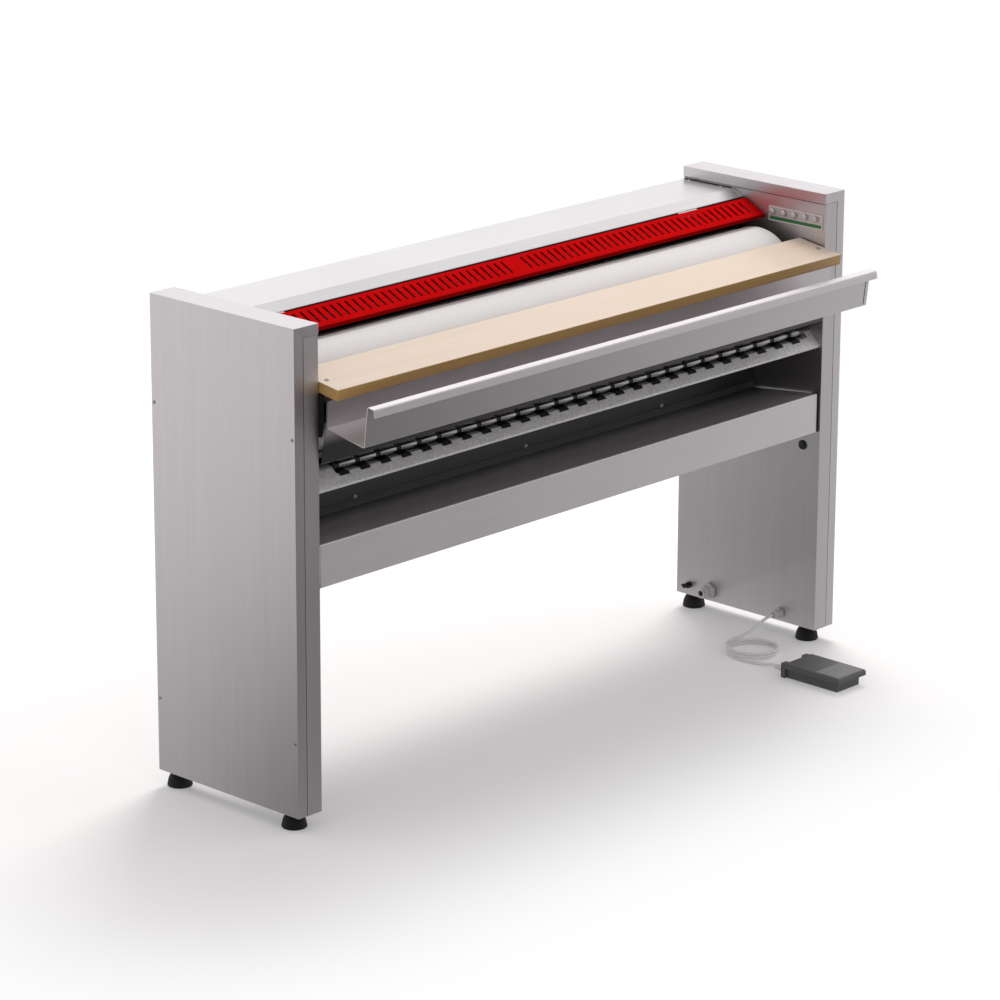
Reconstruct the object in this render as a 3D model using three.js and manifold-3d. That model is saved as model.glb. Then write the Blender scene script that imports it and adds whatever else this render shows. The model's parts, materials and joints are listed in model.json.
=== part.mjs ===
// A flatwork ironer for a laundry: a padded roll between two slim stainless cabinets, a hinged heated
// chest behind the roll, a beech feed table, a linen tray, a row of outfeed rollers over a linen shelf,
// a red finger guard, a push-button panel and a foot pedal on a cord.
// Millimetres. X runs along the roll (0 in the middle), Y from the operator to the back
// (0 at the cabinets' fronts), Z up (0 at the floor).
import * as THREE from "three";
import { mergeVertices } from "three/addons/utils/BufferGeometryUtils.js";
import Module from "manifold-3d";

// ---- driving dimensions -------------------------------------------------------------------------
const overallWidth = 1678;
const cabinetDepth = 409;
const overallHeight = 1040;
const cabinetWidth = 66;
const floorGap = 36; // cabinets' undersides above the floor
const sheet = 1.5; // stainless sheet
const clearance = 0.4; // between pieces that touch

const coverReturn = 24; // width of the side cover's folded edges
const lipHeight = 23; // depth of the side cover's lip round the top
const seamGap = 1.2; // open seam between side cover and inner panel

const rollY = 157;
const rollZ = 838;
const rollRadius = 110; // over the padding
const rollLength = 1482;
const drumRadius = 95;
const drumWall = 3.5;
const shaftRadius = 15;

const chestThickness = 12;
const chestLength = 1488;
const chestTop = 50; // degrees round the roll from straight back, upwards
const chestBottom = -118;
const chestPivotY = 243;
const chestPivotZ = 961;
const chestOpening = 3; // degrees that the chest stands open at rest
const chestGap = 0.5; // padding to chest when the press is closed
const pressHeight = 715; // height at which the press rod pushes the hanger

const coverTopZ = 1012; // flat of the top cover
const coverBendY = 265;
const slopeEndY = 234;
const slopeEndZ = 998;
const guardBackY = 225;
const guardBackZ = 997.2;
const guardFrontY = 169.3;
const guardFrontZ = 969.9;
const guardLip = 8;
const slotsPerGroup = 35;
const slotPitch = 20.78;
const slotWidth = 4.5;
const slotLength = 41;
const middleBlank = 54.5; // between the two groups of slots

const tableBack = [68, 933];
const tableFront = [-50, 914.5];
const tableThickness = 23;
const tableLength = 1542;

const trayLength = 1542;
const chuteTop = [24.5, 717];
const chuteBottom = [5.3, 699.6];
const rollerY = 40;
const rollerZ = 729;
const rollerRadius = 9.5;
const rollerCount = 25;
const rollerPitch = 58.04;
const axleRadius = 2.5;
const rollerSleeve = 45;
const coreRadius = 7.8; // between the sleeves
const firstRollerX = -667; // the row stands nearer to the right cabinet

const shelfFront = [5.3, 589.5];
const shelfBack = [189.1, 569.1];
const apronBottomZ = 499.2;

const rollTeeth = 30;
const motorTeeth = 12;
const chainPitch = 12.7;
const motorY = 300;
const motorZ = 622;

const pedalLeft = 556;
const pedalRight = 650;
const pedalFront = -248;
const pedalBack = -92;
const pedalHeight = 35;

const cordRadius = 3.5;
const coilX = 636;
const coilY = 65;
const coilRadius = 56;
const coilStart = 100; // degrees, seen from above
const coilSweep = 800;
const coilRise = 7.7; // per turn, so the loops lie on each other
const cordFloor = 3.8; // centre of the cord where it lies on the floor

const buttonPlaces = [145, 114, 85, 54, 25];
const buttonZ = 980;
const buttonRadius = 6.4;
const stemRadius = 4.5;
const stemLength = 18;
const studRadius = 5.8; // levelling feet
const studTop = 62;
const hangerRadius = 10;
const hangerArm = [-9, 14]; // front and back edges, from the pivot
const spindleRadius = 9;
const supplyReach = 32; // glands, out from the panel
const pedalGlandReach = 26;
const pedalGlandY = 100;
const pedalGlandZ = 55.5;

// ---- values that follow -------------------------------------------------------------------------
const wallX = overallWidth / 2 - cabinetWidth; // inner faces of the cabinets' lips
const panelX = wallX + sheet + clearance - 0.1; // inner faces of the inner panels
const spanX = panelX - clearance; // half-length of sheets held between the cabinets
const originY = (pedalFront + cabinetDepth) / 2; // middle of the footprint
const wall = panelX - 0.3; // back faces of what is fixed to the right inner panel
const footX = overallWidth / 2 - cabinetWidth / 2;
const feetY = [47, 383];
const rad = THREE.MathUtils.degToRad;

// ---- finishes -----------------------------------------------------------------------------------
const finish = (color, roughness, metalness) =>
  new THREE.MeshStandardMaterial({ color, roughness, metalness });
const stainless = finish(0xb4b1b2, 0.38, 0.9);
const brightSheet = finish(0xd6d2d3, 0.3, 0.9);
const darkSheet = finish(0x6f6c6f, 0.5, 0.7);
const redPaint = finish(0xc8101a, 0.42, 0.1);
const beech = finish(0xdcc3a4, 0.45, 0);
const cloth = finish(0xd7d4d4, 0.95, 0);
const chrome = finish(0xd8d8da, 0.12, 1);
const steel = finish(0x8e8e90, 0.45, 0.9);
const aluminium = finish(0xb9babc, 0.3, 0.9);
const blackPlastic = finish(0x151516, 0.6, 0);
const greyPlastic = finish(0xb5b3b2, 0.5, 0);
const pedalPlastic = finish(0x4b494b, 0.6, 0);
const motorPaint = finish(0x4c5560, 0.5, 0.3);
const cordSkin = finish(0xcfcccb, 0.55, 0);

// ---- solids: join, cut and place ----------------------------------------------------------------
const wasm = await Module();
wasm.setup();

function toSolid(geometry) {
  const bare = new THREE.BufferGeometry();
  const flat = geometry.index ? geometry.toNonIndexed() : geometry;
  bare.setAttribute("position", flat.getAttribute("position"));
  const merged = mergeVertices(bare, 1e-4);
  const index = merged.index.array;
  const kept = [];
  for (let i = 0; i < index.length; i += 3) {
    const [a, b, c] = [index[i], index[i + 1], index[i + 2]];
    if (a !== b && b !== c && a !== c) kept.push(a, b, c);
  }
  const triVerts = new Uint32Array(kept);
  const vertProperties = merged.attributes.position.array;
  return new wasm.Manifold(new wasm.Mesh({ numProp: 3, vertProperties, triVerts }));
}

function toGeometry(solid) {
  const mesh = solid.getMesh();
  const geometry = new THREE.BufferGeometry();
  geometry.setAttribute("position", new THREE.BufferAttribute(mesh.vertProperties, 3));
  geometry.setIndex(new THREE.BufferAttribute(mesh.triVerts, 1));
  return geometry;
}

const join = (...pieces) => toGeometry(pieces.map(toSolid).reduce((a, b) => a.add(b)));
const cut = (piece, ...tools) =>
  toGeometry(tools.map(toSolid).reduce((a, b) => a.subtract(b), toSolid(piece)));

// A box between two corners, given in any order.
function slab(xs, ys, zs) {
  const size = [xs, ys, zs].map(([a, b]) => Math.abs(b - a));
  const middle = [xs, ys, zs].map(([a, b]) => (a + b) / 2);
  return new THREE.BoxGeometry(...size).translate(...middle);
}

// An outline of [y, z] points (or a Shape in y, z), drawn out along X.
function alongX(outline, x0, x1) {
  const shape = Array.isArray(outline)
    ? new THREE.Shape(outline.map(([y, z]) => new THREE.Vector2(y, z)))
    : outline;
  const start = Math.min(x0, x1);
  const depth = Math.abs(x1 - x0);
  const geometry = new THREE.ExtrudeGeometry(shape, { depth, bevelEnabled: false, curveSegments: 8 });
  const turn = new THREE.Matrix4().set(0, 0, 1, start, 1, 0, 0, 0, 0, 1, 0, 0, 0, 0, 0, 1);
  return geometry.applyMatrix4(turn);
}

// The other face of a bent sheet: each point moved to the left of the walk by the sheet's thickness.
function leftOf(points, distance) {
  const legs = points.slice(1).map(([y, z], i) => {
    const [dy, dz] = [y - points[i][0], z - points[i][1]];
    const length = Math.hypot(dy, dz);
    return [-dz / length, dy / length];
  });
  return points.map(([y, z], i) => {
    const a = legs[Math.max(i - 1, 0)];
    const b = legs[Math.min(i, legs.length - 1)];
    const scale = distance / (1 + a[0] * b[0] + a[1] * b[1]);
    return [y + (a[0] + b[0]) * scale, z + (a[1] + b[1]) * scale];
  });
}

// A folded sheet: points [y, z] along its outer face, with the metal on the left of the walk.
const bentSheet = (points, x0, x1, thickness = sheet) =>
  alongX([...points, ...leftOf(points, thickness).reverse()], x0, x1);

// A round bar between two points.
function rod(radius, from, to, sides = 24) {
  const start = new THREE.Vector3(...from);
  const way = new THREE.Vector3(...to).sub(start);
  const bar = new THREE.CylinderGeometry(radius, radius, way.length(), sides);
  const turn = new THREE.Quaternion().setFromUnitVectors(
    new THREE.Vector3(0, 1, 0),
    way.clone().normalize(),
  );
  const middle = start.addScaledVector(way, 0.5);
  return bar.applyQuaternion(turn).translate(middle.x, middle.y, middle.z);
}

// A turned piece: profile of [radius, height] points, its axis then laid along X, -X, Y or Z.
function turned(profile, sides, axis) {
  const points = profile.map(([r, h]) => new THREE.Vector2(r, h));
  const geometry = new THREE.LatheGeometry(points, sides);
  if (axis === "x") geometry.rotateZ(-Math.PI / 2);
  if (axis === "-x") geometry.rotateZ(Math.PI / 2);
  if (axis === "z") geometry.rotateX(Math.PI / 2);
  const solid = toSolid(geometry);
  if (solid.volume() > 0) return geometry;
  const index = geometry.index.array;
  for (let i = 0; i < index.length; i += 3) [index[i], index[i + 1]] = [index[i + 1], index[i]];
  return geometry;
}

// Points on an arc round (y, z), by angle from straight back (+Y) upwards.
function arc(y, z, radius, from, to, steps) {
  const points = [];
  for (let i = 0; i <= steps; i++) {
    const angle = rad(from + ((to - from) * i) / steps);
    points.push([y + radius * Math.cos(angle), z + radius * Math.sin(angle)]);
  }
  return points;
}

// A round tube along a curve.
function tube(curve, radius, sides, steps) {
  const section = new THREE.Shape();
  for (let i = 0; i < sides; i++) {
    const angle = (2 * Math.PI * (i + 0.5)) / sides;
    const [x, y] = [radius * Math.cos(angle), radius * Math.sin(angle)];
    if (i) section.lineTo(x, y);
    else section.moveTo(x, y);
  }
  section.closePath();
  return new THREE.ExtrudeGeometry(section, { steps, bevelEnabled: false, extrudePath: curve });
}

const ironer = new THREE.Group();
ironer.position.set(0, -originY, 0);

function add(name, geometry, material, parent = ironer) {
  const mesh = new THREE.Mesh(geometry, material);
  mesh.name = name;
  parent.add(mesh);
  return mesh;
}

// ---- cabinets: a folded side cover over an inner panel, on a base plate and two feet -------------
function cabinet(side, name) {
  const outer = (side * overallWidth) / 2;
  const inner = side * wallX;
  const at = (distance) => outer - side * distance; // distance in from the outer face
  const full = [0, cabinetDepth];
  const height = [floorGap, overallHeight];
  const lip = [overallHeight - lipHeight, overallHeight];
  const back = cabinetDepth - sheet;
  const inside = [sheet, back];
  const underRoof = overallHeight - sheet;
  add(
    name + "_side_cover",
    cut(
      join(slab([outer, at(coverReturn)], full, height), slab([outer, inner], full, lip)),
      slab([at(sheet), at(coverReturn + 1)], inside, [floorGap - 1, underRoof]),
      slab([at(sheet), inner + side * sheet], inside, [lip[0] - 1, underRoof]),
    ),
    stainless,
  );

  const face = side * panelX;
  const returnEdge = at(coverReturn + seamGap);
  const returnTop = [floorGap, overallHeight - lipHeight - clearance];
  const underLips = [sheet + clearance, back - clearance];
  const hole = (radius, y, z) => rod(radius, [face - side * 4, y, z], [face + side * 6, y, z], 12);
  const holes = [
    hole(shaftRadius + 2, rollY, rollZ),
    hole(axleRadius + 0.6, rollerY, rollerZ),
    hole(hangerRadius + 0.6, chestPivotY, chestPivotZ),
  ];
  if (side > 0) {
    holes.push(hole(spindleRadius + 1.5, motorY, motorZ));
    holes.push(...buttonPlaces.map((y) => hole(stemRadius + 1, y, buttonZ)));
  }
  add(
    name + "_inner_panel",
    cut(
      join(
        slab([face, face + side * sheet], full, returnTop),
        slab([face, face + side * sheet], underLips, [floorGap, overallHeight - 3]),
        slab([face, returnEdge], [0, sheet], returnTop),
        slab([face, returnEdge], [back, cabinetDepth], returnTop),
      ),
      ...holes,
    ),
    stainless,
  );

  const studHoles = feetY.map((y) =>
    rod(studRadius + 0.4, [side * footX, y, floorGap - 2], [side * footX, y, floorGap + 8], 12),
  );
  add(
    name + "_base_plate",
    cut(
      slab(
        [at(sheet + clearance), face + side * (sheet + clearance)],
        [sheet + 1, cabinetDepth - sheet - 1],
        [floorGap, floorGap + 3],
      ),
      ...studHoles,
    ),
    steel,
  );
  feetY.forEach((y, i) => foot(name + (i ? "_back_foot" : "_front_foot"), side * footX, y));
}

// A levelling foot: a round rubber pad with a narrow neck, and its stud.
function foot(name, x, y) {
  const neckTop = floorGap - 0.3;
  const pad = [[0, 0], [26, 0], [26, 5], [20, 20], [11, 30], [11, neckTop]];
  const stud = [[studRadius, neckTop], [studRadius, studTop], [0, studTop]];
  add(name, turned([...pad, ...stud], 18, "z"), blackPlastic).position.set(x, y, 0);
}

// ---- covers and panels between the cabinets ------------------------------------------------------
function ventSlots() {
  const slots = [];
  for (const group of [-1, 1])
    for (let i = 0; i < 8; i++) {
      const x = group * (250 + i * 48);
      slots.push(slab([x - 2.5, x + 2.5], [395, 412], [895, 945]));
    }
  return slots;
}

function housing() {
  const back = cabinetDepth - 2;
  add(
    "top_cover",
    bentSheet(
      [
        [slopeEndY + 5, slopeEndZ - 11],
        [slopeEndY, slopeEndZ],
        [coverBendY, coverTopZ],
        [back, coverTopZ],
        [back, coverTopZ - 27],
      ].reverse(),
      -spanX,
      spanX,
    ),
    brightSheet,
  );
  const rearFace = back - sheet - 0.3;
  add(
    "rear_panel",
    cut(slab([-spanX, spanX], [rearFace - sheet, rearFace], [503, coverTopZ - 6]), ...ventSlots()),
    stainless,
  );
  add(
    "bottom_panel",
    bentSheet(
      [
        [402, 578],
        [402, 561],
        [194, 561],
        [194, 578],
      ].reverse(),
      -spanX,
      spanX,
    ),
    darkSheet,
  );
  add(
    "inner_back_wall",
    bentSheet(
      [
        [48, 700],
        [70, 672],
        [191, 655],
        [191, 563.5],
      ],
      -spanX,
      spanX,
    ),
    darkSheet,
  );
  add(
    "linen_shelf",
    bentSheet(
      [
        [shelfBack[0], shelfBack[1] + 15],
        shelfBack,
        shelfFront,
        [shelfFront[0], apronBottomZ],
        [shelfFront[0] + 19, apronBottomZ],
      ],
      -spanX + 6.4,
      spanX - 6.4,
    ),
    stainless,
  );
}

// ---- roll: drum, padding, shaft and sprocket, in two flanged bearings ----------------------------
function toothed(teeth) {
  const pitchRadius = chainPitch / 2 / Math.sin(Math.PI / teeth);
  const points = [];
  for (let i = 0; i < teeth * 3; i++) {
    const radius = pitchRadius + (i % 3 ? toothTip : -4);
    const angle = (2 * Math.PI * i) / (teeth * 3);
    points.push([radius * Math.cos(angle), radius * Math.sin(angle)]);
  }
  return points;
}
const sprocketX = [797, 803];
const toothTip = 3; // beyond the pitch circle
const tipRadius = (teeth) => chainPitch / 2 / Math.sin(Math.PI / teeth) + toothTip;

function roll() {
  const half = rollLength / 2;
  const bore = shaftRadius + 0.3;
  const drum = [
    [bore, -half + 1], [drumRadius, -half + 1], [drumRadius, half - 1], [bore, half - 1], [bore, half - 9],
    [drumRadius - drumWall, half - 9], [drumRadius - drumWall, -half + 9], [bore, -half + 9],
    [bore, -half + 1],
  ];
  const inside = drumRadius + 0.3;
  const edge = 7; // rounding of the padding's ends
  const rightEnd = [0, 30, 60, 90].map((degrees) => [
    rollRadius - edge + edge * Math.cos(rad(degrees)),
    half - edge + edge * Math.sin(rad(degrees)),
  ]);
  const leftEnd = rightEnd.map(([r, x]) => [r, -x]).reverse();
  const padding = [[inside, -half], ...leftEnd, ...rightEnd, [inside, half], [inside, -half]];
  const place = (mesh) => mesh.position.set(0, rollY, rollZ);
  place(add("roll_drum", turned(drum, 32, "x"), steel));
  place(add("roll_padding", turned(padding, 40, "x"), cloth));
  place(add("roll_shaft", rod(shaftRadius, [-800, 0, 0], [815, 0, 0], 20), steel));
  const sprocket = cut(
    join(alongX(toothed(rollTeeth), ...sprocketX), rod(26, [788, 0, 0], [808, 0, 0])),
    rod(bore, [780, 0, 0], [820, 0, 0], 20),
  );
  place(add("roll_sprocket", sprocket, steel));
  for (const [side, name] of [[-1, "left"], [1, "right"]]) {
    const face = side * (panelX - 0.3);
    const bearing = cut(
      join(
        slab([face, face - side * 7], [-46, 46], [-46, 46]),
        rod(30, [face, 0, 0], [face - side * 15, 0, 0]),
      ),
      rod(shaftRadius + 0.4, [face + side * 2, 0, 0], [face - side * 20, 0, 0], 20),
    );
    place(add("roll_bearing_" + name, bearing, steel));
  }
}

// ---- drive: gearmotor behind the shelf, chain inside the right cabinet ---------------------------
function beltOutline(offset) {
  const [r1, r2] = [tipRadius(rollTeeth) + offset, tipRadius(motorTeeth) + offset];
  const [dy, dz] = [motorY - rollY, motorZ - rollZ];
  const lean = Math.atan2(dz, dy);
  const open = Math.acos((r1 - r2) / Math.hypot(dy, dz));
  const shape = new THREE.Shape();
  shape.absarc(rollY, rollZ, r1, lean + open, lean - open + 2 * Math.PI, false);
  shape.absarc(motorY, motorZ, r2, lean - open, lean + open, false);
  shape.closePath();
  return shape;
}

function drive() {
  const belt = cut(alongX(beltOutline(7), 795, 805), alongX(beltOutline(0.6), 790, 810));
  add("drive_chain", belt, steel);
  const spindle = join(
    alongX(toothed(motorTeeth), ...sprocketX),
    rod(spindleRadius, [748, 0, 0], [812, 0, 0], 16),
    rod(15, [788, 0, 0], [806, 0, 0], 16),
  );
  add("motor_sprocket", spindle, steel).position.set(0, motorY, motorZ);
  const gearmotor = cut(
    join(
      rod(41, [556, motorY, motorZ], [692, motorY, motorZ]),
      rod(30, [545, motorY, motorZ], [560, motorY, motorZ]),
      slab([690, 766], [254, 346], [580, 664]),
      slab([600, 660], [motorY - 22, motorY + 22], [motorZ + 30, motorZ + 62]),
      slab([700, spanX], [262, 338], [574, 582]),
    ),
    rod(spindleRadius + 0.5, [746, motorY, motorZ], [770, motorY, motorZ], 16),
  );
  add("gearmotor", gearmotor, motorPaint);
  const box = join(
    slab([90, 470], [228, 392], [566, 690]),
    slab([86, 474], [224, 396], [664, 674]),
  );
  add("electrical_box", box, greyPlastic);
}

// ---- heated chest on its hanger, drawn closed and then swung open --------------------------------
function chest() {
  const swing = new THREE.Group();
  swing.position.set(0, chestPivotY, chestPivotZ);
  swing.rotation.x = rad(chestOpening);
  ironer.add(swing);
  const closed = new THREE.Group(); // holds the pieces in the machine's own coordinates
  closed.position.set(0, -chestPivotY, -chestPivotZ);
  swing.add(closed);

  const inner = rollRadius + chestGap;
  const outer = inner + chestThickness;
  const halfLength = chestLength / 2;
  const pieces = 21;
  const shell = [
    ...arc(rollY, rollZ, inner, chestBottom, chestTop, pieces),
    ...arc(rollY, rollZ, inner + 5, chestTop + 4, chestTop + 4, 1).slice(1), // flared lip
    ...arc(rollY, rollZ, outer, chestTop, chestBottom, pieces),
  ];
  add("heated_chest", alongX(shell, -halfLength, halfLength), aluminium, closed);

  const element = outer + 6;
  for (const [name, angle] of [["heater_upper", 4], ["heater_lower", -58]]) {
    const [y, z] = [rollY + element * Math.cos(rad(angle)), rollZ + element * Math.sin(rad(angle))];
    const half = [[5.5, 0], [5.5, 690], [2.5, 690], [2.5, 715], [0, 715]];
    const bar = [...half.map(([r, x]) => [r, -x]).reverse(), ...half.slice(1)];
    add(name, turned(bar, 12, "x"), steel, closed).position.set(0, y, z);
  }
  const shield = arc(rollY, rollZ, outer + 17, 40, -112, 19);
  const shieldInside = arc(rollY, rollZ, outer + 15.5, -112, 40, 19);
  add("chest_shield", alongX([...shield, ...shieldInside], -740, 740), brightSheet, closed);

  const arms = [-1, 1].flatMap((side) => {
    const [near, far] = [side * (halfLength + 0.4), side * (halfLength + 6.4)];
    return [
      slab([near, far], hangerArm.map((y) => chestPivotY + y), [700, chestPivotZ]),
      rod(18, [near, chestPivotY, chestPivotZ], [far, chestPivotY, chestPivotZ], 20),
    ];
  });
  const shaft = rod(hangerRadius, [-785, chestPivotY, chestPivotZ], [785, chestPivotY, chestPivotZ], 16);
  add("chest_hanger", join(shaft, ...arms), steel, closed);
}

// An electric press actuator on the right inner panel, whose rod pushes the hanger's arm forward.
function press() {
  const x = chestLength / 2 + 3.4;
  const z = pressHeight;
  const lever = chestPivotZ - z;
  const open = rad(chestOpening);
  const armBack = chestPivotY + hangerArm[1] * Math.cos(open) + lever * Math.sin(open);
  const tip = armBack + 0.8;
  const [mouth, end] = [tip + 34, cabinetDepth - 12];
  const body = cut(
    join(
      rod(16, [x, mouth, z], [x, end, z], 20),
      rod(19, [x, mouth, z], [x, mouth + 14, z], 20),
      slab([x, spanX], [mouth + 24, end - 8], [z - 12, z + 12]),
    ),
    rod(6.5, [x, mouth - 5, z], [x, end - 8, z], 16),
  );
  add("press_actuator", body, motorPaint);
  const rodEnd = end - 16;
  const plunger = join(
    rod(6, [x, tip, z], [x, rodEnd, z], 16),
    rod(10, [x, tip, z], [x, tip + 7, z], 16),
  );
  add("press_rod", plunger, chrome);
}

// ---- red finger guard with its slots and hinge brackets ------------------------------------------
const guardPinY = 229.6;
const guardPinZ = 989;
const guardHinges = [
  { name: "guard_bracket_left", from: -705, to: -643 },
  { name: "guard_bracket_right", from: 549, to: 611 },
];

function fingerGuard() {
  const slope = Math.atan2(guardBackZ - guardFrontZ, guardBackY - guardFrontY);
  const half = slotLength / 2;
  const [midY, midZ] = [(guardBackY + guardFrontY) / 2 + 2, (guardBackZ + guardFrontZ) / 2 + 1];
  const slots = [];
  for (const group of [-1, 1])
    for (let i = 0; i < slotsPerGroup; i++) {
      const x = group * (middleBlank / 2 + slotWidth / 2 + i * slotPitch);
      const slot = slab([-slotWidth / 2, slotWidth / 2], [-half, half], [-6, 6]);
      slots.push(slot.rotateX(slope).translate(x, midY, midZ));
    }
  const halfLength = spanX - 2.5;
  const plate = bentSheet(
    [
      [guardBackY, guardBackZ],
      [guardFrontY, guardFrontZ],
      [guardFrontY - 0.7, guardFrontZ - guardLip],
    ],
    -halfLength,
    halfLength,
  );
  const eye = [[212, 989.9], [225, 996.3], [233, 990.5], [233, 986], [228, 984], [222, 986]];
  const ears = guardHinges.flatMap(({ from, to }) => [
    alongX(eye, from - 3, from - 0.6),
    alongX(eye, to + 0.6, to + 3),
  ]);
  const pinHoles = guardHinges.map(({ from, to }) =>
    rod(2.4, [from - 6, guardPinY, guardPinZ], [to + 6, guardPinY, guardPinZ], 10),
  );
  add("finger_guard", cut(join(plate, ...ears), ...slots, ...pinHoles), redPaint);

  for (const { name, from, to } of guardHinges) {
    const nose = [
      [227.6, 984.6],
      [250, 984.6],
      [250, 986.4],
      [233, 986.4],
      [232.3, 997.6],
      [227.6, 996.8],
    ];
    const fixing = [[243, 985], [250, 985], [250, 1003], [243, 1000]];
    const bracket = join(
      alongX(nose, from, to),
      rod(2, [from - 4, guardPinY, guardPinZ], [to + 4, guardPinY, guardPinZ], 10),
      alongX(fixing, from + 2, to - 2),
    );
    add(name, bracket, stainless);
  }
}

// ---- feed table on its two brackets, linen tray and front shield ---------------------------------
function feedSide() {
  const [by, bz] = tableBack;
  const [fy, fz] = tableFront;
  const length = Math.hypot(by - fy, bz - fz);
  const down = [((bz - fz) / length) * tableThickness, (-(by - fy) / length) * tableThickness];
  const under = (y, drop = 0) => fz + down[1] + ((bz - fz) / (by - fy)) * (y - fy - down[0]) - drop;
  const board = [
    tableBack,
    tableFront,
    [fy + down[0], fz + down[1]],
    [58, under(58)],
    [by + 1.6, bz - 9],
  ];
  add("feed_table", alongX(board, -tableLength / 2, tableLength / 2), beech);

  const tray = [
    [-23.4, 888],
    [-19, 832],
    [-120, 814],
    [-130, 897],
    [-148, 894.5],
    [-150.5, 878],
  ];
  add("linen_tray", bentSheet(tray, -trayLength / 2, trayLength / 2), stainless);
  const shield = [
    [-21, 886],
    [-16.7, 830],
    [-3, 757],
    [6, 752],
  ];
  add("front_shield", bentSheet(shield, -trayLength / 2, trayLength / 2), stainless);

  for (const [side, name] of [[-1, "left"], [1, "right"]]) {
    const [plateOut, plateIn] = [side * (spanX + 0.1), side * (spanX - 1.6)];
    const flangeIn = side * (trayLength / 2 - 30);
    const plate = [
      [60, under(60, 1)],
      [-14.4, under(-14.4, 1)],
      [-14.4, 838],
      [-8, 812],
      [60, 812],
    ];
    const rest = [
      [55, under(55, 0.5)],
      [-12, under(-12, 0.5)],
      [-12, under(-12, 2.5)],
      [55, under(55, 2.5)],
    ];
    const bracket = join(
      alongX(plate, plateOut, plateIn),
      alongX(rest, plateOut, flangeIn),
      slab([plateOut, flangeIn], [-14.4, -12.4], [842, 884]),
    );
    add("table_bracket_" + name, bracket, darkSheet);
  }
}

// ---- outfeed: chute plate, roller row and the plastic rests under the sleeves --------------------
function outfeed() {
  const rollerPlaces = Array.from({ length: rollerCount }, (_, i) => firstRollerX + i * rollerPitch);
  const first = rollerPlaces[0] - rollerSleeve / 2;
  const last = rollerPlaces[rollerCount - 1] + rollerSleeve / 2;
  const [ty, tz] = chuteTop;
  const [by, bz] = chuteBottom;
  const tongue = [[ty - 1, tz - 0.9], [36.6, 728], [37.7, 726.8], [ty + 2, tz - 1.3]];
  const plate = bentSheet([[86, tz - 9], [84, tz], [ty, tz], [by, bz], [by + 7, bz - 8]], -spanX, spanX);
  const tongues = [[-spanX, firstRollerX - 36], [spanX - 20, spanX]];
  add("chute_plate", join(plate, ...tongues.map(([a, b]) => alongX(tongue, a, b))), brightSheet);

  const row = [[0, -790], [axleRadius, -790], [axleRadius, first - 12], [coreRadius, first - 12]];
  for (const x of rollerPlaces) {
    const [near, far] = [x - rollerSleeve / 2, x + rollerSleeve / 2];
    row.push([coreRadius, near], [rollerRadius, near], [rollerRadius, far], [coreRadius, far]);
  }
  row.push([axleRadius, last], [axleRadius, 790], [0, 790]);
  add("outfeed_roller", turned(row, 10, "x"), chrome).position.set(0, rollerY, rollerZ);

  const way = [(by - ty) / Math.hypot(by - ty, bz - tz), (bz - tz) / Math.hypot(by - ty, bz - tz)];
  const lift = 0.35;
  const onSlope = (distance) => [
    ty + way[0] * distance + way[1] * lift,
    tz + way[1] * distance - way[0] * lift,
  ];
  const strip = [[52, tz + lift], [ty + 12, tz + lift]];
  const rest = [[ty + 14, tz + lift], [ty + 0.2, tz + lift], onSlope(7)];
  const above = (points, x0, x1) => bentSheet([...points].reverse(), x0, x1, 1.3);
  const tabs = rollerPlaces.map((x) => above(rest, x - 30, x - 4));
  add("roller_rest_strip", join(above(strip, first - 8, last), ...tabs), blackPlastic);
}

// ---- control panel and its five push buttons -----------------------------------------------------
function controls() {
  const face = panelX - 0.3;
  const front = face - 1.2;
  const plate = slab([face, front], [7, 160], [957, 991]);
  const across = (radius, from, to, sides) =>
    buttonPlaces.map((y) => rod(radius, [from, y, buttonZ], [to, y, buttonZ], sides));
  const rings = across(buttonRadius + 1.4, front + 0.5, front - 1.6, 18);
  const holes = across(stemRadius + 0.6, face + 5, front - 5, 12);
  add("control_panel_plate", cut(join(plate, ...rings), ...holes), aluminium);

  const rim = 4.8; // underside of the dome, out from the plate
  const dome = [0, 30, 60].map((degrees) => [
    buttonRadius * Math.cos(rad(degrees)),
    rim + 1 + 4 * Math.sin(rad(degrees)),
  ]);
  const stem = [[0, -stemLength], [stemRadius, -stemLength], [stemRadius, rim], [buttonRadius, rim]];
  const button = [...stem, ...dome, [0, rim + 5]];
  buttonPlaces.forEach((y, i) => {
    add("button_" + (i + 1), turned(button, 16, "-x"), chrome).position.set(front, y, buttonZ);
  });
}

// ---- fittings low on the right cabinet's inner face ----------------------------------------------
// A cable gland: a hexagon on the panel, then a dome nut that narrows to its nose.
function gland(y, z, { acrossFlats, nutRadius, noseRadius, reach }) {
  const hexRadius = acrossFlats / Math.sqrt(3);
  const nut = [
    [0, 0],
    [nutRadius, 0],
    [nutRadius, reach * 0.55],
    [noseRadius, reach * 0.78],
    [noseRadius, reach],
    [0, reach],
  ];
  return join(
    rod(hexRadius, [wall, y, z], [wall - reach * 0.3, y, z], 6),
    turned(nut, 18, "-x").translate(wall, y, z),
  );
}

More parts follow.
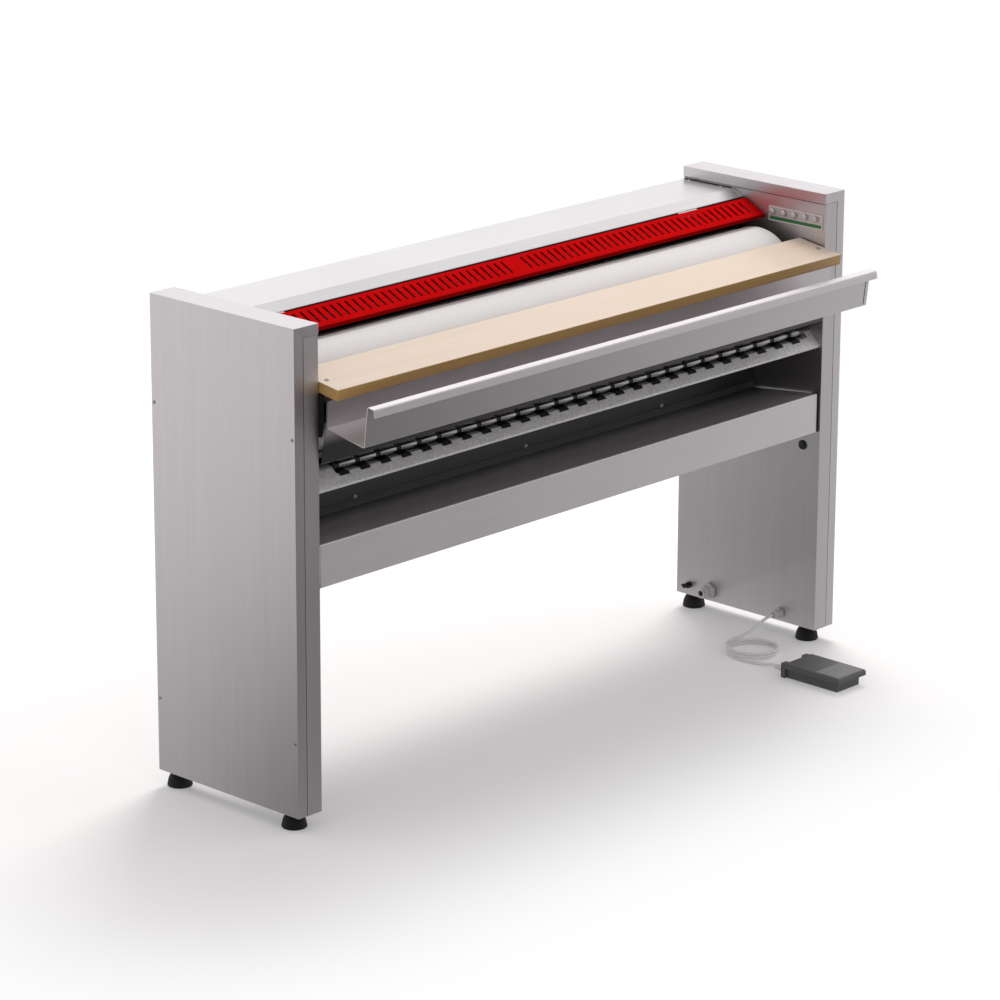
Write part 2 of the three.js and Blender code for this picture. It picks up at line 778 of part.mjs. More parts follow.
function fittings() {
  const supply = gland(310, 60, { acrossFlats: 36, nutRadius: 15.5, noseRadius: 11.5, reach: supplyReach });
  const mouth = wall - supplyReach;
  add("supply_gland", cut(supply, rod(7, [mouth - 2, 310, 60], [mouth + 25, 310, 60], 12)), greyPlastic);
  const forPedal = { acrossFlats: 22, nutRadius: 9.6, noseRadius: 7, reach: pedalGlandReach };
  add("pedal_gland", gland(pedalGlandY, pedalGlandZ, forPedal), greyPlastic);
  const stud = join(
    rod(4, [wall, 372, 60], [wall - 20, 372, 60], 12),
    rod(7.5, [wall, 372, 60], [wall - 9, 372, 60], 16),
    slab([wall - 7, wall - 13], [359, 385], [57.5, 62.5]),
  );
  add("earth_stud", stud, steel);
  const plug = [[0, 0], [11, 0], [11, 2], [8, 3.6], [0, 4.2]];
  add("wall_plug", turned(plug, 24, "-x"), blackPlastic).position.set(wall, 47.5, 461.8);
}

// ---- foot pedal on the floor, and its cord --------------------------------------------------------
const pedalPinY = -90;
const pedalPinZ = 21;
const sleeveX = 582;

function pedal() {
  const [left, right] = [pedalLeft + 10, pedalRight - 8];
  const base = join(
    slab([left, right], [-235, -81], [0, 3]),
    slab([left, left + 3], [-235, -81], [0, 19]),
    slab([right - 3, right], [-235, -81], [0, 19]),
    slab([left, right], [-235, -232], [0, 19]),
    slab([left, right], [-84, -81], [0, 19]),
    ...[left, right - 11].map((x) => slab([x, x + 11], [-97, -81], [2, 26])),
    ...[left - 6, right - 11].map((x) => slab([x, x + 17], [-92, -81], [0, 33])),
    rod(2.5, [left + 5, pedalPinY, pedalPinZ], [right - 5, pedalPinY, pedalPinZ], 12),
  );
  add("pedal_base", base, pedalPlastic);
  add("pedal_switch", slab([590, 622], [-170, -140], [3.4, 17]), blackPlastic);

  const [low, high] = [22.5, pedalHeight];
  const wall = 3;
  const top = slab([pedalLeft, pedalRight], [pedalFront, pedalBack - 1.5], [high - wall, high]);
  const skirts = [
    slab([pedalLeft, pedalLeft + wall], [pedalFront, pedalBack - 1.5], [low, high]),
    slab([pedalRight - wall, pedalRight], [pedalFront, pedalBack - 1.5], [low, high]),
    slab([pedalLeft, pedalRight], [pedalFront, pedalFront + wall], [low, high]),
  ];
  const eyes = [left + 13, right - 19].map((x) =>
    cut(
      join(slab([x, x + 6], [-106, -85], [17, 26]), slab([x, x + 6], [-106, -98], [17, high - 1])),
      rod(3, [x - 2, pedalPinY, pedalPinZ], [x + 8, pedalPinY, pedalPinZ], 12),
    ),
  );
  const pad = slab([pedalLeft + 5, pedalRight - 5], [pedalFront + 6, -178], [high - 1, high + 1.2]);
  add("pedal_treadle", join(top, ...skirts, ...eyes, pad), pedalPlastic);

  const sleeve = [[0, 0], [9, 0], [8, 12], [4.6, 36], [0, 36]];
  const relief = turned(sleeve, 16, "y");
  add("pedal_cord_sleeve", relief, cordSkin).position.set(sleeveX, -80.6, 12);
}

class Loops extends THREE.Curve {
  getPoint(t, target = new THREE.Vector3()) {
    const angle = rad(coilStart + coilSweep * t);
    const z = cordFloor + ((coilRise * coilSweep) / 360) * (1 - t);
    return target.set(coilX + coilRadius * Math.cos(angle), coilY + coilRadius * Math.sin(angle), z);
  }
}

// The least gap between stretches of the coil that are more than a third of a turn apart.
function leastGap(curve) {
  const points = curve.getPoints(400);
  const apart = Math.ceil((400 * 120) / coilSweep);
  let least = Infinity;
  for (let i = 0; i < points.length; i++)
    for (let j = i + apart; j < points.length; j++)
      least = Math.min(least, points[i].distanceTo(points[j]));
  return least - 2 * cordRadius;
}

function cord() {
  const loops = new Loops();
  const coil = tube(loops, cordRadius, 6, 54);
  add("cord_coil", coil, cordSkin);

  const straight = 2 * cordRadius; // the run that is square to what it meets
  const gap = 0.5;
  const start = loops.getPoint(0);
  const startWay = loops.getTangent(0);
  const end = loops.getPoint(1);
  const endWay = loops.getTangent(1);
  const glandNose = wall - pedalGlandReach - gap;
  const leadEnd = start.clone().addScaledVector(startWay, -gap);
  const lead = [
    [glandNose, pedalGlandY, pedalGlandZ],
    [glandNose - straight, pedalGlandY, pedalGlandZ],
    [718, 100.5, 52],
    [701, 102.5, 43.5],
    [680, 107, 33],
    [655, 114.5, 24.6],
  ].map((p) => new THREE.Vector3(...p));
  lead.push(leadEnd.clone().addScaledVector(startWay, -straight), leadEnd);
  const leadPath = new THREE.CatmullRomCurve3(lead, false, "centripetal");
  add("cord_lead", tube(leadPath, cordRadius, 8, 16), cordSkin);

  const tailStart = end.clone().addScaledVector(endWay, gap);
  const tail = [tailStart, tailStart.clone().addScaledVector(endWay, straight)];
  const mouth = -80.6 + 36 + gap;
  const bends = [
    [579.5, 40, cordFloor],
    [583, 22, cordFloor],
    [587, 4, cordFloor + 0.4],
    [587, -14, 6.4],
    [583.4, -30, 10.6],
    [sleeveX, mouth + straight, 12],
    [sleeveX, mouth, 12],
  ];
  tail.push(...bends.map((p) => new THREE.Vector3(...p)));
  const tailPath = new THREE.CatmullRomCurve3(tail, false, "centripetal");
  add("cord_tail", tube(tailPath, cordRadius, 8, 14), cordSkin);

  const total = leadPath.getLength() + loops.getLength() + tailPath.getLength();
  console.log("coil's least gap to itself, mm:", leastGap(loops).toFixed(2));
  console.log("cord, mm:", total.toFixed(0));
}

cabinet(-1, "left");
cabinet(1, "right");
housing();
roll();
drive();
chest();
press();
fingerGuard();
feedSide();
outfeed();
controls();
fittings();
pedal();
cord();

export default ironer;
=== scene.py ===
import json
import math

import bmesh
import bpy
from mathutils import Matrix, Vector, noise


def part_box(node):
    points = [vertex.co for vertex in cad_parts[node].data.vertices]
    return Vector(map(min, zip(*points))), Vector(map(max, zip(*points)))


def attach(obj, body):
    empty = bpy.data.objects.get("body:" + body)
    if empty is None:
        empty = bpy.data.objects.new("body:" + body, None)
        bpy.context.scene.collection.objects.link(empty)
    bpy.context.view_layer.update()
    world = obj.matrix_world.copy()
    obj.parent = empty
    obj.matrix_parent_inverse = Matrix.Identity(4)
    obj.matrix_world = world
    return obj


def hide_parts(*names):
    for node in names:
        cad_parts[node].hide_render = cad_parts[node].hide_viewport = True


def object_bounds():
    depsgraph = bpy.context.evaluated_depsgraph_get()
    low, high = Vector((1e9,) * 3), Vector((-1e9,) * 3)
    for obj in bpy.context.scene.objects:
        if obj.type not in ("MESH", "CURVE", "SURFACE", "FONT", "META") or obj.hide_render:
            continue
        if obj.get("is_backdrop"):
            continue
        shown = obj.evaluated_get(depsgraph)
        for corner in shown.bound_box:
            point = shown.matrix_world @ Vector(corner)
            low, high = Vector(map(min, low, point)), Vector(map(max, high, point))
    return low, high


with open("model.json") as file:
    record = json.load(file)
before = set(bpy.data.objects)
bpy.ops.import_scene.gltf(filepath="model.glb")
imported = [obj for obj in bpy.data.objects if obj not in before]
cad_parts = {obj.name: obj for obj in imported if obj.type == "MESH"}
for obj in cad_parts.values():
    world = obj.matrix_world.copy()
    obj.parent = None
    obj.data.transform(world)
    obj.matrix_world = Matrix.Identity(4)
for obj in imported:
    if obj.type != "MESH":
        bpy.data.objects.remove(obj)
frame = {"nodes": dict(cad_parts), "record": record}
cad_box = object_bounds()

MM = 0.001
MACHINE_MIDDLE = 80.5  # the frame's Y origin, behind the cabinets' fronts
HALF_WIDTH = 839.0
DEPTH = 409.0
HEIGHT = 1040.0
WALL_X = 774.5  # backs of what is fixed to the right inner panel
SPAN_X = 774.4  # half the length of the sheets between the cabinets
SHEET = 1.5
nodes = frame["nodes"]
body_of = {node: body for body, group in frame["record"]["behaviour"]["bodies"].items() for node in group}
slot_of = {part["node"]: part["material_slot"] for part in frame["record"]["subparts"]}
scene = bpy.context.scene


def at(x, y, z):
    """A point in the machine's millimetres, in the frame's metres."""
    return Vector((x, y - MACHINE_MIDDLE, z)) * MM


# ---- camera ---------------------------------------------------------------------------------------
VIEW_ANGLES = (-46.833, 17.035, 0.254)  # turn, rise and roll in degrees
VIEW_PLACE = (-6.2719, -5.7195, 3.0967)
VIEW_LENS, VIEW_SENSOR, VIEW_REACH = 152.09, 36.0, 200.0


def place_camera():
    """At the photograph's viewing angle."""
    turn, rise, roll = (math.radians(a) for a in VIEW_ANGLES)
    back = Vector((math.sin(turn) * math.cos(rise), -math.cos(turn) * math.cos(rise), math.sin(rise)))
    level = Vector((math.cos(turn), math.sin(turn), 0.0))
    upright = back.cross(level)
    right = level * math.cos(roll) + upright * math.sin(roll)
    up = upright * math.cos(roll) - level * math.sin(roll)
    lens = bpy.data.cameras.new("view")
    lens.lens, lens.sensor_width, lens.clip_end = VIEW_LENS, VIEW_SENSOR, VIEW_REACH
    camera = bpy.data.objects.new("view", lens)
    scene.collection.objects.link(camera)
    facing = Matrix((right, up, back)).transposed().to_4x4()
    camera.matrix_world = Matrix.Translation(VIEW_PLACE) @ facing
    scene.camera = camera


# ---- node trees written as expressions ------------------------------------------------------------
class Value:
    """A node's output. A sum written with it adds its Math nodes."""

    def __init__(self, tree, socket):
        self.tree, self.socket = tree, socket

    def math(self, operation, *others):
        return self.tree.math(operation, self, *others)

    def __add__(self, other):
        return self.math("ADD", other)

    def __sub__(self, other):
        return self.math("SUBTRACT", other)

    def __rsub__(self, other):
        return self.tree.math("SUBTRACT", other, self)

    def __mul__(self, other):
        return self.math("MULTIPLY", other)

    __radd__, __rmul__ = __add__, __mul__

    def swing(self, amount):
        """A pattern from 0 to 1, centred on 0 and scaled."""
        return (self - 0.5) * amount

    def rise(self, low, high):
        """0 below low, 1 above high, and smooth between them."""
        ends = {"Value": self, "From Min": low, "From Max": high}
        return self.tree.node("ShaderNodeMapRange", {"interpolation_type": "SMOOTHSTEP"}, ends)["Result"]


class Made:
    """A node that has been added; its outputs by name or number."""

    def __init__(self, tree, node):
        self.tree, self.node = tree, node

    def __getitem__(self, name):
        return Value(self.tree, self.node.outputs[name])


class Tree:
    """A node tree and the one method that adds any node to it."""

    def __init__(self, tree):
        self.tree = tree

    def node(self, kind, settings=None, inputs=None):
        """Sets the settings first, then each socket's values or links; a list is several links."""
        node = self.tree.nodes.new(kind)
        for name, value in (settings or {}).items():
            setattr(node, name, value)
        for name, value in (inputs or {}).items():
            for each in value if isinstance(value, list) else [value]:
                if isinstance(each, Value):
                    self.tree.links.new(each.socket, node.inputs[name])
                else:
                    node.inputs[name].default_value = each
        return Made(self, node)

    def math(self, operation, *values):
        return self.node("ShaderNodeMath", {"operation": operation}, dict(enumerate(values)))["Value"]

    def mix(self, factor, first, second):
        """A colour between two, each three numbers or a link."""
        colours = [c if isinstance(c, Value) else (*c, 1.0) for c in (first, second)]
        inputs = {0: factor, 6: colours[0], 7: colours[1]}
        return self.node("ShaderNodeMix", {"data_type": "RGBA"}, inputs)[2]

    def parts(self, vector):
        """A vector's X, Y and Z."""
        made = self.node("ShaderNodeSeparateXYZ", None, {"Vector": vector})
        return made["X"], made["Y"], made["Z"]


def emptied(owner):
    """The node tree of a material or the world, with nothing in it."""
    owner.use_nodes = True
    owner.node_tree.nodes.clear()
    return owner.node_tree


class Finish(Tree):
    """A procedural material with one Principled surface, in Object coordinates."""

    def __init__(self, name, constants):
        self.material = bpy.data.materials.new(name)
        super().__init__(emptied(self.material))
        self.surface = self.node("ShaderNodeBsdfPrincipled", None, constants)
        self.node("ShaderNodeOutputMaterial", None, {"Surface": self.surface["BSDF"]})
        self.place = self.node("ShaderNodeTexCoord")["Object"]

    def noise(self, scale, detail=2.0, roughness=0.5, distortion=0.0):
        """Noise from 0 to 1. Scale is cells per metre, one number or three."""
        stretch = scale if isinstance(scale, tuple) else (scale,) * 3
        place = self.node("ShaderNodeMapping", None, {"Vector": self.place, "Scale": stretch})["Vector"]
        shape = {"Scale": 1.0, "Detail": detail, "Roughness": roughness, "Distortion": distortion}
        return self.node("ShaderNodeTexNoise", None, {"Vector": place, **shape})["Fac"]

    def give(self, socket, value):
        self.tree.links.new(value.socket, self.surface.node.inputs[socket])

    def bump(self, height, strength, distance=0.0004):
        inputs = {"Strength": strength, "Distance": distance, "Height": height}
        self.give("Normal", self.node("ShaderNodeBump", None, inputs)["Normal"])


# ---- finishes -------------------------------------------------------------------------------------
def shade(colour, factor):
    """A colour made darker or lighter."""
    return tuple(min(1.0, c * factor) for c in colour)


def grained(axis, along, across):
    """Cells per metre on each axis for a grain that runs along one."""
    return tuple(along if name == axis else across for name in "xyz")


def brushed(name, tint, grain, roughness=0.36, contrast=1.0, metallic=1.0, painted_shade_end=None):
    """Brushed sheet: hair lines along one axis, faint wider bands and broad smudges. The painted shade
    at one end, if there is one, is (axis, where it starts in metres, where it is full, share of the colour
    left)."""
    finish = Finish(name, {"Metallic": metallic})
    lines = finish.noise(grained(grain, along=9.0, across=1500.0))
    bands = finish.noise(grained(grain, along=1.1, across=55.0), 3.0)
    smudges = finish.noise(4.0, 3.0, 0.6)
    tone = 0.5 + lines.swing(0.8 * contrast) + bands.swing(0.3 * contrast) + smudges.swing(0.4)
    colour = finish.mix(tone, shade(tint, 0.87), shade(tint, 1.12))
    # painted shade: the colour darkened towards one end to stand in for shade that falls there
    if painted_shade_end:
        axis, start, full, left = painted_shade_end
        place = finish.parts(finish.place)["xyz".index(axis)]
        share = place.rise(start, full) if full > start else 1 - place.rise(full, start)
        colour = finish.mix(share, colour, shade(tint, left))
    finish.give("Base Color", colour)
    finish.give("Roughness", roughness + lines.swing(0.15) + smudges.swing(0.1))
    finish.bump(lines, 0.05)
    return finish.material


def spangled(name, tint, roughness):
    """Zinc-coated sheet with a fine spangle."""
    finish = Finish(name, {"Metallic": 0.4})
    cells = finish.node("ShaderNodeTexVoronoi", None, {"Vector": finish.place, "Scale": 290.0})
    spangle = finish.parts(cells["Color"])[0]
    grit = finish.noise(1000.0, 3.0, 0.7)
    smudges = finish.noise(9.0, 3.0)
    tone = 0.5 + spangle.swing(0.7) + grit.swing(1.1) + smudges.swing(0.3)
    finish.give("Base Color", finish.mix(tone, shade(tint, 0.66), shade(tint, 1.2)))
    finish.give("Roughness", roughness + spangle.swing(0.16) + grit.swing(0.2))
    finish.bump(grit + spangle * 0.4, 0.12)
    return finish.material


def painted(name, colour, roughness, peel=0.09, gloss=0.5, painted_shade_below=None):
    """Powder coat: orange peel, faint dust and a slightly worn sheen, and a painted shade below a height."""
    finish = Finish(name, {"Specular IOR Level": gloss})
    skin = finish.noise(520.0, 2.0)
    cloud = finish.noise(11.0, 3.0, 0.6)
    tone = 0.5 + skin.swing(0.35) + cloud.swing(0.9)
    coat = finish.mix(tone, shade(colour, 0.86), shade(colour, 1.14))
    # painted shade: the coat darkened below a height, standing in for the shade on the guard's front lip
    if painted_shade_below:
        edge = 0.5 * MM
        height = finish.parts(finish.place)[2]
        above = height.rise(painted_shade_below - edge, painted_shade_below + edge)
        coat = finish.mix(above, shade(colour, 0.4), coat)
    finish.give("Base Color", coat)
    finish.give("Roughness", roughness + cloud.swing(0.22))
    finish.bump(skin, peel)
    return finish.material


def moulded(name, colour, roughness, grain=700.0, depth=0.16, spread=0.16):
    """Moulded plastic or rubber: a fine leathery grain, uneven sheen and light scuffs."""
    finish = Finish(name, {"Specular IOR Level": 0.45})
    skin = finish.noise(grain, 3.0, 0.6)
    cloud = finish.noise(22.0, 3.0)
    scuffs = finish.noise(grained("x", along=40.0, across=260.0)).rise(0.62, 0.8)
    tone = 0.5 + skin.swing(0.5) + cloud.swing(0.7) + scuffs * 0.25
    finish.give("Base Color", finish.mix(tone, shade(colour, 1 - spread), shade(colour, 1 + spread)))
    finish.give("Roughness", roughness + skin.swing(0.14) + cloud.swing(0.12) - scuffs * 0.08)
    finish.bump(skin, depth)
    return finish.material


def polished(name, tint, roughness, metallic=1.0):
    """Chrome or a ground bar: fine turning lines and a trace of handling."""
    finish = Finish(name, {"Metallic": metallic})
    lines = finish.noise(grained("x", along=1300.0, across=30.0))
    haze = finish.noise(35.0, 3.0, 0.6)
    finish.give("Base Color", finish.mix(haze, shade(tint, 0.9), shade(tint, 1.06)))
    finish.give("Roughness", roughness + lines.swing(0.06) + haze.swing(0.1))
    finish.bump(lines, 0.03)
    return finish.material


def lacquered_beech(name):
    """Beech board: pale face with fine grain along X and short flecks, browner sawn edges."""
    finish = Finish(name, {"Specular IOR Level": 0.5, "Coat Roughness": 0.3, "Coat Weight": 0.12})
    grain = finish.noise(grained("x", along=3.0, across=330.0), 4.0, 0.6, 0.6)
    figure = finish.noise(grained("x", along=1.1, across=26.0), 3.0, 0.5, 1.2)
    flecks = finish.noise(grained("x", along=210.0, across=1300.0)).rise(0.6, 0.72)
    board = finish.mix(figure * 0.55 + grain * 0.45, (0.64, 0.49, 0.355), (0.76, 0.655, 0.56))
    face = finish.mix(flecks * 0.32 + grain.swing(0.3), board, (0.50, 0.33, 0.19))
    layers = finish.noise((2.0, 60.0, 420.0), 4.0, 0.6, 0.4)
    edge = finish.mix(layers, (0.32, 0.165, 0.048), (0.70, 0.44, 0.17))
    up = finish.parts(finish.node("ShaderNodeNewGeometry")["Normal"])[2]
    finish.give("Base Color", finish.mix(up.rise(0.55, 0.85), edge, face))
    finish.give("Roughness", 0.42 + grain.swing(0.22) + flecks * 0.08)
    finish.bump(grain - flecks * 0.4, 0.1)
    return finish.material


def needled_cloth(name):
    """White padding cloth: a close twill under a short nap, a little scorched and creased by use."""
    finish = Finish(name, {"Sheen Weight": 0.25, "Sheen Roughness": 0.5, "Specular IOR Level": 0.15})
    x, y, z = finish.parts(finish.place)
    threads = 5200.0  # radians per metre
    twill, counter = (x * threads + z * threads).math("SINE"), (x * threads - y * threads).math("SINE")
    weave = (twill * 0.5 + counter * 0.5) * 0.5 + 0.5
    nap = finish.noise(1600.0, 3.0, 0.7)
    wear = finish.noise(grained("x", along=2.5, across=14.0), 3.0, 0.55)
    tone = weave * 0.2 + nap * 0.35 + wear * 0.45
    finish.give("Base Color", finish.mix(tone, (0.60, 0.575, 0.57), (0.83, 0.81, 0.81)))
    finish.give("Roughness", 0.82 + nap.swing(0.2))
    finish.bump(weave * 0.5 + nap, 0.25, 0.0003)
    return finish.material


PRINT_BORDER = (0.0011, 0.0014, 0.0022, 0.0025)  # starts, is full, ends and is gone, from the edge in
PRINT_BAND = (0.0032, 0.0035, 0.0106, 0.0109)  # the same, up from the plate's lower edge
PRINT_BAND_END = (0.0032, 0.0036)


def control_print(name):
    """Anodised control plate: satin field, pale border line and a plain green band."""
    finish = Finish(name, {})
    low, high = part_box("control_panel_plate")
    _, y, z = finish.parts(finish.place)
    middle, half = (low + high) / 2, (high - low) / 2
    across = half.y - (y - middle.y).math("ABSOLUTE")
    upright = half.z - (z - middle.z).math("ABSOLUTE")
    inset = across.math("MINIMUM", upright)
    border = inset.rise(*PRINT_BORDER[:2]) * (1 - inset.rise(*PRINT_BORDER[2:]))
    height = z - low.z
    band = height.rise(*PRINT_BAND[:2]) * (1 - height.rise(*PRINT_BAND[2:])) * across.rise(*PRINT_BAND_END)
    lines = finish.noise(grained("y", along=12.0, across=1500.0))
    field = finish.mix(0.5 + lines.swing(0.8), (0.52, 0.465, 0.455), (0.70, 0.64, 0.63))
    green = finish.mix(band, field, (0.02, 0.17, 0.045))
    finish.give("Base Color", finish.mix(border, green, (0.86, 0.83, 0.82)))
    finish.give("Metallic", (1 - border) * (1 - band) * 0.3)
    finish.give("Roughness", 0.42 + lines.swing(0.14))
    finish.bump(lines + border * 0.4 + band * 0.4, 0.06)
    return finish.material


STAINLESS = (0.65, 0.618, 0.63)
BRIGHT_SHEET = (0.67, 0.66, 0.66)
DULL_SHEET = (0.30, 0.285, 0.29)
# painted shade: a sheet colour darkened to stand in for the shade inside the machine, on the back wall and
# heat shield
SHADED_SHEET = (0.13, 0.124, 0.126)


def make_finishes():
    # painted shade: the shelf's sheet darkened towards the back wall
    shelf_painted_shade = ("y", 0.03, 0.105, 0.2)  # the shelf under the chute
    # painted shade: the front shield's sheet darkened below the tray's bottom
    shield_painted_shade = ("z", 0.831, 0.79, 0.15)
    # the height below which the guard's lip gets painted shade
    guard_lip = 0.969
    return {
        "stainless_upright": brushed("brushed stainless upright", STAINLESS, "z"),
        "stainless_along": brushed("brushed stainless along", STAINLESS, "x", 0.34),
        "stainless_inner": brushed("brushed stainless inner", STAINLESS, "z", 0.46, contrast=1.3),
        "shelf": brushed("shelf sheet", STAINLESS, "x", metallic=0.45, painted_shade_end=shelf_painted_shade),
        "shield": brushed("shield sheet", STAINLESS, "x", painted_shade_end=shield_painted_shade),
        "cover": brushed("bright cover sheet", BRIGHT_SHEET, "x", 0.33, contrast=0.7),
        "chute": spangled("zinc coated chute", (0.98, 0.965, 0.96), 0.46),
        "dull": brushed("dull rolled sheet", DULL_SHEET, "x", 0.46, contrast=0.6),
        "shaded": brushed("dark rolled sheet", SHADED_SHEET, "x", 0.5, contrast=0.8),
        "red": painted("red powder coat", (0.53, 0.004, 0.005), 0.5, 0.07, 0.0, painted_shade_below=guard_lip),
        "beech": lacquered_beech("lacquered beech"),
        "cloth": needled_cloth("padding cloth"),
        "chrome": polished("chrome", (0.74, 0.74, 0.745), 0.13),
        "roller": polished("ground rollers", (0.34, 0.333, 0.338), 0.24),
        "button": polished("satin button", (0.66, 0.63, 0.625), 0.42, metallic=0.5),
        "steel": polished("machined steel", (0.40, 0.395, 0.39), 0.34),
        "zinc": polished("zinc plated fastener", (0.62, 0.615, 0.6), 0.28),
        "blackened": polished("blackened steel", (0.045, 0.045, 0.047), 0.42),
        "aluminium": brushed("cast aluminium", (0.52, 0.525, 0.53), "x", 0.4),
        "rubber": moulded("black rubber", (0.004, 0.004, 0.0045), 0.66, grain=500.0, depth=0.2),
        "black": moulded("black plastic", (0.013, 0.013, 0.014), 0.5),
        "grey": moulded("light grey plastic", (0.60, 0.585, 0.575), 0.42),
        "pedal": moulded("dark grey pedal plastic", (0.105, 0.102, 0.104), 0.5, grain=620.0, depth=0.22),
        "pedal_pad": moulded("pedal pad rubber", (0.33, 0.322, 0.325), 0.56, grain=900.0, depth=0.25),
        "motor": painted("blue grey enamel", (0.09, 0.11, 0.13), 0.4),
        "cord": moulded("off white sheath", (0.85, 0.83, 0.83), 0.44, grain=900.0, depth=0.08, spread=0.08),
        "print": control_print("control plate print"),
    }


# ---- shapes ---------------------------------------------------------------------------------------
def shape_mesh(name, *shapes):
    """A mesh of closed shells, each (points in the machine's millimetres, faces), facing outwards."""
    build = bmesh.new()
    for points, faces in shapes:
        corners = [build.verts.new(at(*p)) for p in points]
        for face in faces:
            build.faces.new([corners[i] for i in face])
    bmesh.ops.recalc_face_normals(build, faces=build.faces)
    mesh = bpy.data.meshes.new(name)
    build.to_mesh(mesh)
    build.free()
    return mesh


def block(xs, ys, zs):
    """A box between two values on each axis."""
    points = [(x, y, z) for x in xs for y in ys for z in zs]
    return points, [(0, 1, 3, 2), (4, 6, 7, 5), (0, 4, 5, 1), (2, 3, 7, 6), (0, 2, 6, 4), (1, 5, 7, 3)]


AXES = {
    "x": ((1, 0, 0), (0, 1, 0), (0, 0, 1)),
    "-x": ((-1, 0, 0), (0, 1, 0), (0, 0, 1)),
    "y": ((0, 1, 0), (1, 0, 0), (0, 0, 1)),
    "z": ((0, 0, 1), (1, 0, 0), (0, 1, 0)),
}


def turned(profile, centre, axis, sides, flutes=0, flute_depth=0.0, spin=0.0):
    """A turned solid. Profile is (radius, height) or (radius, height, fluted) from end to end of the
    axis, starting and ending on it; closed profiles that never touch the axis make a ring."""
    way, first, second = (Vector(v) for v in AXES[axis])
    points, rings, faces = [], [], []
    ring_shape = profile[0][0] > 0
    for row in profile:
        radius, height = row[:2]
        base = Vector(centre) + way * height
        if radius <= 0:
            rings.append([len(points)] * sides)
            points.append(base)
            continue
        rings.append([len(points) + i for i in range(sides)])
        for i in range(sides):
            angle = 2 * math.pi * i / sides + spin
            r = radius - (flute_depth * (0.5 + 0.5 * math.cos(flutes * angle)) if len(row) > 2 else 0.0)
            points.append(base + first * (r * math.cos(angle)) + second * (r * math.sin(angle)))
    pairs = list(zip(rings, rings[1:])) + ([(rings[-1], rings[0])] if ring_shape else [])
    for low, high in pairs:
        for i in range(sides):
            j = (i + 1) % sides
            corners = [low[i], low[j], high[j], high[i]]
            kept = [c for k, c in enumerate(corners) if c != corners[k - 1]]
            if len(kept) > 2:
                faces.append(kept)
    return [tuple(p) for p in points], faces


def shifted(points, distance):
    """Each point of a walk in (y, z) moved to its left."""
    legs = []
    for (y0, z0), (y1, z1) in zip(points, points[1:]):
        length = math.hypot(y1 - y0, z1 - z0)
        legs.append((-(z1 - z0) / length, (y1 - y0) / length))
    moved = []
    for i, (y, z) in enumerate(points):
        a, b = legs[max(i - 1, 0)], legs[min(i, len(legs) - 1)]
        scale = distance / (1 + a[0] * b[0] + a[1] * b[1])
        moved.append((y + (a[0] + b[0]) * scale, z + (a[1] + b[1]) * scale))
    return moved


BEND_STEPS, CORNER_STEPS = 6, 5


def bend_rounded(points, radius):
    """The walk with each corner turned on an arc."""
    path = [points[0]]
    for before, corner, after in zip(points, points[1:], points[2:]):
        a = (Vector(corner) - Vector(before)).normalized()
        b = (Vector(after) - Vector(corner)).normalized()
        angle = -a.angle_signed(b)
        if abs(angle) < 1e-3:
            path.append(corner)
            continue
        reach = radius * math.tan(abs(angle) / 2)
        start = Vector(corner) - a * reach
        side = Vector((-a.y, a.x)) * math.copysign(1, angle)
        centre = start + side * radius
        for i in range(BEND_STEPS + 1):
            turn = Matrix.Rotation(angle * i / BEND_STEPS, 2)
            path.append(tuple(centre + turn @ (start - centre)))
    return path + [points[-1]]


def folded(points, x0, x1, radius, thickness=SHEET):
    """A bent sheet with rounded bends: (y, z) points along its outer face, the metal on the left."""
    path = bend_rounded(shifted(points, thickness / 2), radius + thickness / 2)
    outer, inner = shifted(path, -thickness / 2), shifted(path, thickness / 2)
    count = len(path)
    corners = [(x, y, z) for x in (x0, x1) for y, z in outer + inner]
    faces = []
    for i in range(count - 1):
        j = i + 1
        faces.append((i, j, 2 * count + j, 2 * count + i))
        faces.append((count + i, count + j, 3 * count + j, 3 * count + i))
        for end in (0, 2 * count):
            faces.append((end + i, end + j, end + count + j, end + count + i))
    for i in (0, count - 1):
        faces.append((i, count + i, 3 * count + i, 2 * count + i))
    return corners, faces


def prism(outline, x0, x1):
    """An outline of (y, z) points drawn out along X."""
    count = len(outline)
    points = [(x, y, z) for x in (x0, x1) for y, z in outline]
    sides = [(i, (i + 1) % count, count + (i + 1) % count, count + i) for i in range(count)]
    return points, [tuple(range(count)), tuple(range(count, 2 * count)), *sides]


def rounded_outline(ys, zs, radius):
    """A rectangle's outline with round corners."""
    corners = [(ys[1], zs[1], 0), (ys[0], zs[1], 90), (ys[0], zs[0], 180), (ys[1], zs[0], 270)]
    points = []
    for y, z, start in corners:
        cy = y - math.copysign(radius, y - ys[0] - 1e-6)
        cz = z - math.copysign(radius, z - zs[0] - 1e-6)
        for i in range(CORNER_STEPS + 1):
            angle = math.radians(start + 90 * i / CORNER_STEPS)
            points.append((cy + radius * math.cos(angle), cz + radius * math.sin(angle)))
    return points


def joined(name, *meshes):
    """Several meshes as one."""
    both = bmesh.new()
    for mesh in meshes:
        both.from_mesh(mesh)
    result = bpy.data.meshes.new(name)
    both.to_mesh(result)
    both.free()
    return result


def merged_copy(node):
    """A CAD node's triangles joined into whole faces, as a new mesh."""
    build = bmesh.new()
    build.from_mesh(nodes[node].data)
    bmesh.ops.remove_doubles(build, verts=build.verts, dist=2e-6)
    flat = math.radians(0.4)
    bmesh.ops.dissolve_limit(build, angle_limit=flat, verts=build.verts, edges=build.edges)
    mesh = bpy.data.meshes.new(node)
    build.to_mesh(mesh)
    build.free()
    return mesh


